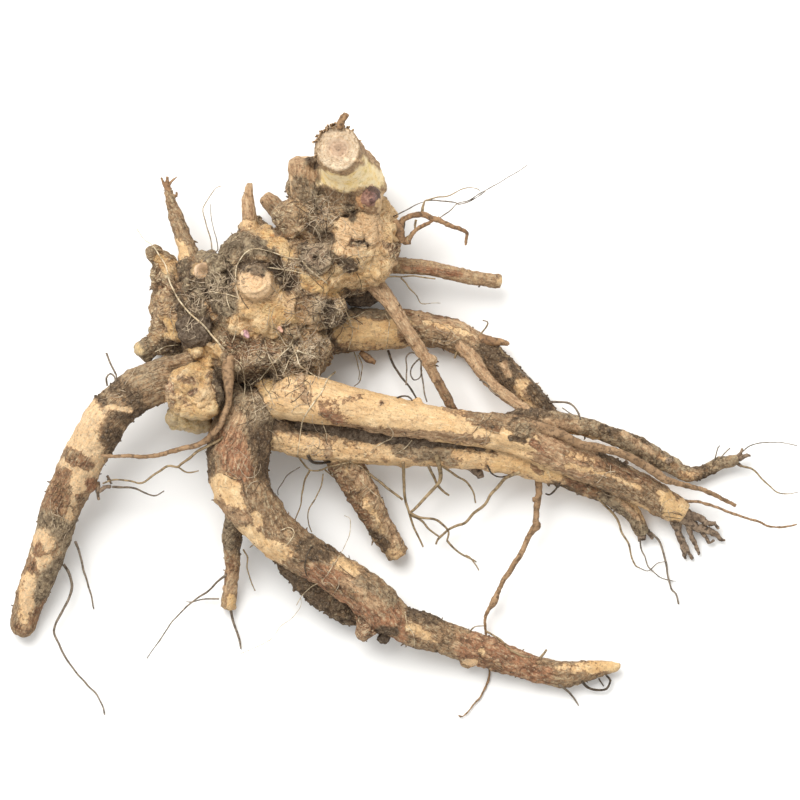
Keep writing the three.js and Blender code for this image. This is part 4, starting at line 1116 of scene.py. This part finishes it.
# Short hairs caught on the crown and in the grooves: middle in plan, spread and how many
fibres = {
    "sides": 4,
    "length": (5, 14),
    "radius": (0.13, 0.24),
    "step": 1.2,  # millimetres between bends
    "above": 4,  # they lie only where what is below is higher than this
    "skins": {
        "fineRootlets": ("fineRootlet", "d2bfa2", "a8937a", "74644c"),
        "fineBrownRootlets": ("fineBrownRootlet", "7a6850", "54463a", "342a22"),
    },
    "places": [
        (-62, 16, 18, 130), (-45, 22, 12, 120), (-42, 72, 8, 36), (-55, 64, 8, 60), (-35, 44, 10, 90),
        (-40, 93, 8, 70), (-85, 60, 7, 45), (-98, 52, 10, 60), (-70, -4, 8, 16), (-40, -22, 9, 12),
        (-75, -40, 9, 12), (-30, -86, 9, 12), (-140, 5, 9, 10), (-168, -60, 8, 8), (40, -18, 10, 10),
        (100, -42, 10, 16), (134, -62, 9, 20), (20, 30, 9, 10), (-104, 40, 8, 20), (-20, 70, 10, 20),
        (-58, 40, 12, 24),
    ],
}


def wandered(route, far, seed):
    # the route with small bends in it, none at its start
    offset = Vector((seed * 3.7, seed * 1.9, seed * 7.3))
    bends = np.array([noise.noise_vector(Vector(p[:3]) / 7 + offset) for p in route])
    fades = np.minimum(np.arange(len(route)) / 4, 1)[:, None]
    route[:, :3] += bends * far * fades
    return route


def surfaceTree(meshes):
    bm = bmesh.new()
    for mesh in meshes:
        bm.from_mesh(mesh)
    tree = BVHTree.FromBMesh(bm)
    bm.free()
    return tree


def topAt(tree, x, y):
    # height of the surface seen from above there, or 0 beside it
    hit = tree.ray_cast(place(x, y, 200), Vector((0, 0, -1)))[0]
    return hit.z / mm if hit else 0.0


def laidRoute(tree, route):
    # the route lifted onto what is below it, and pulled straight over the hollows
    tops = np.array([topAt(tree, x, y) for x, y in route[:, :2]])
    lowest = np.where(tops > 0, tops + 0.6 * route[:, 3], 0)
    lowest = np.maximum(lowest, np.maximum(route[:, 2], route[:, 3]))
    route[:, 2] = lowest
    for _ in range(8):
        route[1:-1, 2] = np.maximum((route[:-2, 2] + route[2:, 2]) / 2, lowest[1:-1])
    return route


def knobbly(mesh, share, size):
    # tubes made uneven with a relief of that many millimetres
    points, normals = meshArrays(mesh)
    moveVertices(mesh, points + normals * (share * noiseOf(points, size, 31))[:, None])
    return mesh


def rootletSkin(name, lightColour, darkColour, spotColour):
    # Thin root skin, dried: dull, a little shiny where clean, with soil stuck on here and there
    material, tree, shader = newMaterial(name)
    position = addNode(tree, "ShaderNodeTexCoord").outputs["Object"]
    shades = mottle(tree, position, 6, 3, 0.35, 0.65)
    spots = mottle(tree, position, 1.8, 4, 0.5, 0.62, 0.8)
    grain = mottle(tree, position, 0.8, 2, 0.4, 0.6, 0.4)
    colour = blended(tree, linear(lightColour), (shades, linear(darkColour)), (grain, linear(darkColour)),
                     (spots, linear(spotColour)))
    dressShader(tree, shader, colour, spots, depth=0.25, strength=0.8, roughness=0.75, specular=0.3)
    return material


def makeTwigs():
    for number, (kind, skin) in enumerate(twigs["skins"].items()):
        routes = [wandered(smoothRoute(stops, twigs["spacing"]), twigs["wander"], number * 40 + i)
                  for i, stops in enumerate(twigs[kind])]
        mesh = knobbly(tubesMesh("twigs", routes, twigs["sides"]), twigs["relief"][kind], size=1.7)
        newPiece(f"{kind}Twigs", mesh, rootletSkin(*skin))


def makeRootlets(tree):
    for number, (kind, skin) in enumerate(rootlets["skins"].items()):
        routes = []
        for i, (zStart, zEnd, rStart, rEnd, places) in enumerate(rootlets[kind]):
            stops = []
            for (x, y), share in zip(places, np.linspace(0, 1, len(places))):
                radius = rootlets["thickness"][kind] * (rStart + (rEnd - rStart) * share)
                stops.append((x, y, zStart + (zEnd - zStart) * share, radius))
            route = wandered(smoothRoute(stops, rootlets["spacing"]), rootlets["wander"], number * 60 + i)
            routes.append(laidRoute(tree, route))
        mesh = knobbly(tubesMesh("rootlets", routes, rootlets["sides"]), share=0.12, size=2.0)
        newPiece(f"{kind}Rootlets", mesh, rootletSkin(*skin))


def makeFibres(tree):
    chance = random.Random(7)
    routes = []
    for x, y, spread, count in fibres["places"]:
        for _ in range(count):
            at = np.array([chance.gauss(x, spread / 2), chance.gauss(y, spread / 2)])
            turn = chance.uniform(0, 2 * math.pi)
            bend = chance.uniform(-0.5, 0.5)
            radius = chance.uniform(*fibres["radius"])
            steps = int(chance.uniform(*fibres["length"]) / fibres["step"])
            route = []
            for step in range(steps):
                route.append([*at, 0, radius * (1 - 0.5 * step / steps)])
                turn += bend * 0.5 + chance.gauss(0, 0.12)
                at = at + fibres["step"] * np.array([math.cos(turn), math.sin(turn)])
            if min(topAt(tree, *stop[:2]) for stop in route) > fibres["above"]:
                routes.append(laidRoute(tree, np.array(route)))
    # every third one is brown
    shares = [[route for i, route in enumerate(routes) if i % 3 > 0], routes[::3]]
    for share, (name, skin) in zip(shares, fibres["skins"].items()):
        newPiece(name, tubesMesh("fibres", share, fibres["sides"]), rootletSkin(*skin))
    print("fine rootlets:", len(routes))


# Buds: foot, which way each leans, then the scales round it with start and sweep in degrees
buds = {
    "large": {
        "at": (-16.2, 101.4, 55), "lean": (0.25, -0.3), "radius": 3.0, "height": 9.2,
        "scales": [
            ("Tan", 100, 125, 6.8, 6.2, "d0a270", "9c6d48"),
            ("Dark", -75, 150, 6.5, 6.0, "6f5140", "46332a"),
            ("Yellow", 215, 85, 7.4, 3.6, "dcc88a", "b2935a"),
            ("Cream", 30, 80, 7.0, 5.0, "d9bb95", "a47b5c"),
            ("Outer", 60, 210, 5.6, 7.6, "b08672", "7e5848"),
            ("Middle", 225, 215, 4.7, 8.4, "8f6455", "5f4038"),
            ("Inner", 20, 215, 3.7, 9.0, "bb9480", "835c4e"),
        ],
        "colours": ("8a6054", "553730"),
    },
    "small": {
        "at": (-77.5, 34, 51), "lean": (0.5, -0.7), "radius": 1.7, "height": 5.5,
        "scales": [("Pale", 100, 150, 2.3, 3.4, "e6d3b4", "bf9a78")],
        "colours": ("cfa3a4", "a07a7c"),
    },
    "sprout": {
        "at": (-61.5, 37, 52), "lean": (1.0, -1.0), "radius": 1.4, "height": 5.5,
        "scales": [("Pale", 100, 150, 1.9, 3.0, "e2c9a4", "bb9468")],
        "colours": ("d9b49c", "b98468"),
    },
}
driedScale = "3d2a20"


def budSkin(name, lightColour, darkColour):
    # Bud scales: smooth, waxy and veined lengthwise, brown where they dried
    material, tree, shader = newMaterial(name)
    position = addNode(tree, "ShaderNodeTexCoord").outputs["Object"]
    drawn = addNode(tree, "ShaderNodeMapping", {"Vector": position, "Scale": (1, 1, 0.25)}).outputs[0]
    veins = mottle(tree, drawn, 1.0, 4, 0.35, 0.65)
    colour = blended(tree, linear(lightColour), (veins, linear(darkColour)),
                     (mottle(tree, position, 2.0, 5, 0.52, 0.66, 0.7), linear(driedScale)))
    dressShader(tree, shader, colour, veins, depth=0.25, strength=0.8, roughness=0.5)
    return material


def budShell(radius, height, start, sweep, thickness):
    # an egg-shaped profile turned about its axis; a scale stops short of the tip
    bm = bmesh.new()
    tip = 1.0 if sweep == 360 else 0.82
    profile = []
    for step in range(13):
        rise = tip * step / 12
        wide = math.cos(rise * math.pi / 2) ** 0.75 * (0.86 + 0.14 * math.sin(math.pi * min(1, rise * 2)))
        high = math.sin(rise * math.pi / 2) * height
        profile.append(bm.verts.new((max(0, wide) * radius * mm, 0, high * mm)))
    edges = [bm.edges.new(pair) for pair in zip(profile, profile[1:])]
    bmesh.ops.spin(bm, geom=profile + edges, cent=(0, 0, 0), axis=(0, 0, 1), angle=math.radians(sweep),
                   steps=max(10, sweep // 12), use_merge=sweep == 360)
    bmesh.ops.rotate(bm, verts=bm.verts, matrix=Matrix.Rotation(math.radians(start), 3, "Z"))
    bmesh.ops.remove_doubles(bm, verts=bm.verts, dist=0.01 * mm)
    bmesh.ops.recalc_face_normals(bm, faces=bm.faces)
    if sweep < 360:
        bmesh.ops.solidify(bm, geom=bm.faces[:], thickness=thickness * mm)
    bmesh.ops.subdivide_edges(bm, edges=bm.edges[:], cuts=1, use_grid_fill=True)
    return bm


def makeBud(name, bud):
    shells = [("Core", 0, 360, bud["radius"], bud["height"], *bud["colours"]), *bud["scales"]]
    turn = Vector((*bud["lean"], 1)).to_track_quat("Z", "Y").to_matrix().to_4x4()
    for kind, start, sweep, radius, height, lightColour, darkColour in shells:
        bm = budShell(radius, height, start, sweep, thickness=0.5)
        bmesh.ops.transform(bm, verts=bm.verts, matrix=Matrix.Translation(place(*bud["at"])) @ turn)
        title = f"{name}Bud{kind}"
        mesh = knobbly(meshFrom(bm, name), share=0.35, size=2.4)
        newPiece(title, mesh, budSkin(title, lightColour, darkColour))


for budName, budParts in buds.items():
    makeBud(budName, budParts)
print("buds are done")


# Splinters that stand up round the broken side of the stem
stemRim = {
    "middle": (-30.8, 124.6, 82.5),
    "radius": 10.9,
    "turns": (120, 50),  # direction of the broken side and its spread, in degrees
    "count": 70,
    "foot": 6,  # how far below the rim they start, in millimetres like those below
    "stray": (-1.6, 0.5),
    "lean": (-1.0, 1.6),
    "rise": (-0.5, 2.5),
    "sway": 1.5,
    "bow": 1.2,
    "thickness": (0.25, 0.7),
    "skin": ("splitStem", "d2b592", "a08260", "5a4431"),
}


def makeSplinters():
    chance = random.Random(3)
    foot = stemRim["foot"]
    routes = []
    for _ in range(stemRim["count"]):
        turn = math.radians(chance.gauss(*stemRim["turns"]))
        out = np.array([math.cos(turn), math.sin(turn), 0])
        reach = stemRim["radius"] + chance.uniform(*stemRim["stray"])
        start = np.array(stemRim["middle"]) + out * reach - (0, 0, foot)
        lean = out * chance.uniform(*stemRim["lean"])
        tip = start + lean + (0, 0, foot + chance.uniform(*stemRim["rise"]))
        side = np.array([-out[1], out[0], 0]) * chance.uniform(-stemRim["sway"], stemRim["sway"])
        middle = (start + tip) / 2 + out * chance.uniform(0, stemRim["bow"])
        wide = chance.uniform(*stemRim["thickness"])
        stops = [(*start, wide), (*(middle + side * 0.4), wide), (*(tip + side), 0.15)]
        routes.append(smoothRoute(stops, 0.8))
    mesh = knobbly(tubesMesh("splinters", routes, 6), share=0.15, size=1.4)
    newPiece("stemSplinters", mesh, rootletSkin(*stemRim["skin"]))


makeTwigs()
makeSplinters()
print("twigs are done")


# Soil: clods packed into crevices, each a few lumps of middle and half widths, and loose crumbs
soil = {
    "clods": {
        "soil_left_crevice": [(-102, 33, 44, 8.6, 7.2, 7), (-106, 37, 43, 6, 5, 6), (-99, 37, 46, 5, 4.6, 4)],
        "soil_under_lobe": [(-17, 54.5, 14, 8.6, 6.8, 8), (-22, 52, 17, 6, 5, 6), (-12, 55, 13, 5, 4.6, 5)],
        "soil_back_crevice": [(-36, 45, 31, 8.6, 5.8, 7), (-31, 42, 29, 5, 4.4, 6), (-41, 46, 34, 5, 4.4, 4)],
        "soil_lower_root": [(-8.5, -119.5, 15, 3.5, 3.6, 3.5), (-7, -117.5, 16, 2.6, 2.4, 2.4)],
    },
    # the groove clod lies in the gap between the two right roots: soil that also stands in for the shadow in
    # that gap
    "groove": [
        (-52, -11, 36, 2.6), (-25, -16, 34, 4), (0, -19.5, 33, 4), (25, -22, 30, 3.4), (42, -24, 28.5, 2.2),
    ],
    "roughness": 1.3,  # millimetres of relief
    "crumbs": 1500,
    "crumbRadius": (0.35, 1.15),
    "crumbsFrom": 0.42,  # the least share of soil in the skin's coat that has crumbs on it
    "colours": {"earth": "43362b", "crumb": "7a6957", "dust": "a39480"},
}


def crumblySoil():
    # Dry garden loam: matt dark brown crumbs with paler grey dust on top
    material, tree, shader = newMaterial("drySoil")
    position = addNode(tree, "ShaderNodeTexCoord").outputs["Object"]
    crumbs = mottle(tree, position, 2.2, 5, 0.35, 0.65)
    dust = mottle(tree, position, 1.3, 4, 0.52, 0.7, 0.6)
    earth, crumb, pale = (linear(soil["colours"][name]) for name in ("earth", "crumb", "dust"))
    colour = blended(tree, earth, (crumbs, crumb), (dust, pale))
    dressShader(tree, shader, colour, crumbs, depth=0.8, strength=1.0, roughness=0.95, specular=0.2)
    return material


def roughened(mesh):
    # one lumpy shell from overlapping shapes
    made = modifiedMesh(mesh, [("REMESH", {"mode": "VOXEL", "voxel_size": 0.55 * mm})])
    points, normals = meshArrays(made)
    relief = noiseOf(points, 4, 41) + 0.6 * np.abs(noiseOf(points, 1.8, 42)) + 0.3 * noiseOf(points, 0.9, 43)
    moveVertices(made, points + normals * (soil["roughness"] * relief)[:, None])
    return made


def makeClods(material):
    made = []
    for node, lumps in soil["clods"].items():
        bm = bmesh.new()
        for lump in lumps:
            addLump(bm, lump, 3)
        mesh = roughened(meshFrom(bm, node))
        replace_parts(newPiece(f"clod_{node}", mesh, material), node)
        made.append(mesh)
    groove = wandered(smoothRoute(soil["groove"], 2), 1.2, 5)
    mesh = roughened(tubesMesh("groove", [groove], 12))
    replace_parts(newPiece("clod_soil_root_groove", mesh, material), "soil_root_groove")
    return [*made, mesh]


def makeCrumbs(material):
    # loose crumbs sit where the skin has soil on it
    chance = random.Random(11)
    points, normals = meshArrays(body.data)
    likely = np.flatnonzero((attributeOf(body.data, "soil") > soil["crumbsFrom"]) & (normals[:, 2] > -0.3))
    low, high = soil["crumbRadius"]
    bm = bmesh.new()
    for _ in range(soil["crumbs"]):
        at = points[likely[chance.randrange(len(likely))]]
        size = low + (high - low) * chance.random() ** 2.5
        turn = Matrix.Rotation(chance.uniform(0, 6), 4, "X") @ Matrix.Rotation(chance.uniform(0, 6), 4, "Z")
        addLump(bm, (*at, size, size * chance.uniform(0.6, 1), size * chance.uniform(0.5, 0.9)), 1, turn)
    newPiece("soilCrumbs", meshFrom(bm, "crumbs"), material)


# Broken root hairs and lifted flakes of bark, which make the outline ragged
barbs = {
    "count": 450,
    "length": (0.4, 1.5),
    "radius": (0.25, 0.6),
    "spread": 0.8,  # how far they turn from straight out
    "curl": 0.6,
    "facing": (-0.5, 0.75),  # from the side rather than from above or below
    "right": 160,  # none beyond this, on the thin ends
    "above": 2,
    "skin": ("liftedBark", "8f7860", "5f4d3c", "382c22"),
}


def makeBarbs():
    chance = random.Random(23)
    points, normals = meshArrays(body.data)
    low, high = barbs["facing"]
    fits = (attributeOf(body.data, "bare") < 0.5) & (points[:, 0] < barbs["right"])
    fits &= (normals[:, 2] > low) & (normals[:, 2] < high) & (points[:, 2] > barbs["above"])
    likely = np.flatnonzero(fits)
    routes = []
    for _ in range(barbs["count"]):
        pick = likely[chance.randrange(len(likely))]
        out = normals[pick] + [chance.uniform(-barbs["spread"], barbs["spread"]) for _ in range(3)]
        out /= np.linalg.norm(out)
        side = np.array([chance.uniform(-barbs["curl"], barbs["curl"]) for _ in range(3)])
        reach = chance.uniform(*barbs["length"])
        wide = chance.uniform(*barbs["radius"])
        foot = points[pick] - out * 0.5
        middle, tip = foot + out * reach, foot + (out * 1.3 + side) * reach
        routes.append(smoothRoute([(*foot, wide), (*middle, wide * 0.8), (*tip, wide * 0.4)], 0.7))
    newPiece("barkBarbs", tubesMesh("barbs", routes, 4), rootletSkin(*barbs["skin"]))


makeBarbs()
loam = crumblySoil()
clodMeshes = makeClods(loam)
makeCrumbs(loam)
print("soil is done")
lieOn = surfaceTree([body.data, *clodMeshes])
makeRootlets(lieOn)
makeFibres(lieOn)
print("rootlets are done")


# Floor and lights
studio = {
    "floorSize": 14.0,  # metres
    "floorColour": "f4f3f0",
    "skyStrength": 0.81,
    "keySize": 2.0,
    "keyPlace": (-0.9, 1.5, 2.4),
    "keyPower": 105,
}


def makeFloor():
    bm = bmesh.new()
    bmesh.ops.create_grid(bm, x_segments=1, y_segments=1, size=studio["floorSize"] / 2)
    mesh = meshFrom(bm, "floor")
    floor = bpy.data.objects.new("floor", mesh)
    floor.location.z = -0.2 * mm
    bpy.context.scene.collection.objects.link(floor)
    # Matte board, painted
    material, _, shader = newMaterial("paintedBoard")
    shader.inputs["Base Color"].default_value = linear(studio["floorColour"])
    shader.inputs["Roughness"].default_value = 0.9
    mesh.materials.append(material)


def makeLights():
    world = bpy.data.worlds.new("studio")
    world.use_nodes = True
    background = world.node_tree.nodes["Background"]
    background.inputs["Color"].default_value = (1, 1, 1, 1)
    background.inputs["Strength"].default_value = studio["skyStrength"]
    bpy.context.scene.world = world
    light = bpy.data.lights.new("key", "AREA")
    light.size = studio["keySize"]
    light.energy = studio["keyPower"]
    key = bpy.data.objects.new("key", light)
    key.location = studio["keyPlace"]
    key.rotation_euler = (-key.location).to_track_quat("-Z", "Y").to_euler()
    bpy.context.scene.collection.objects.link(key)


makeFloor()
makeLights()
bpy.context.scene.view_settings.view_transform = "Standard"
print("studio is ready")
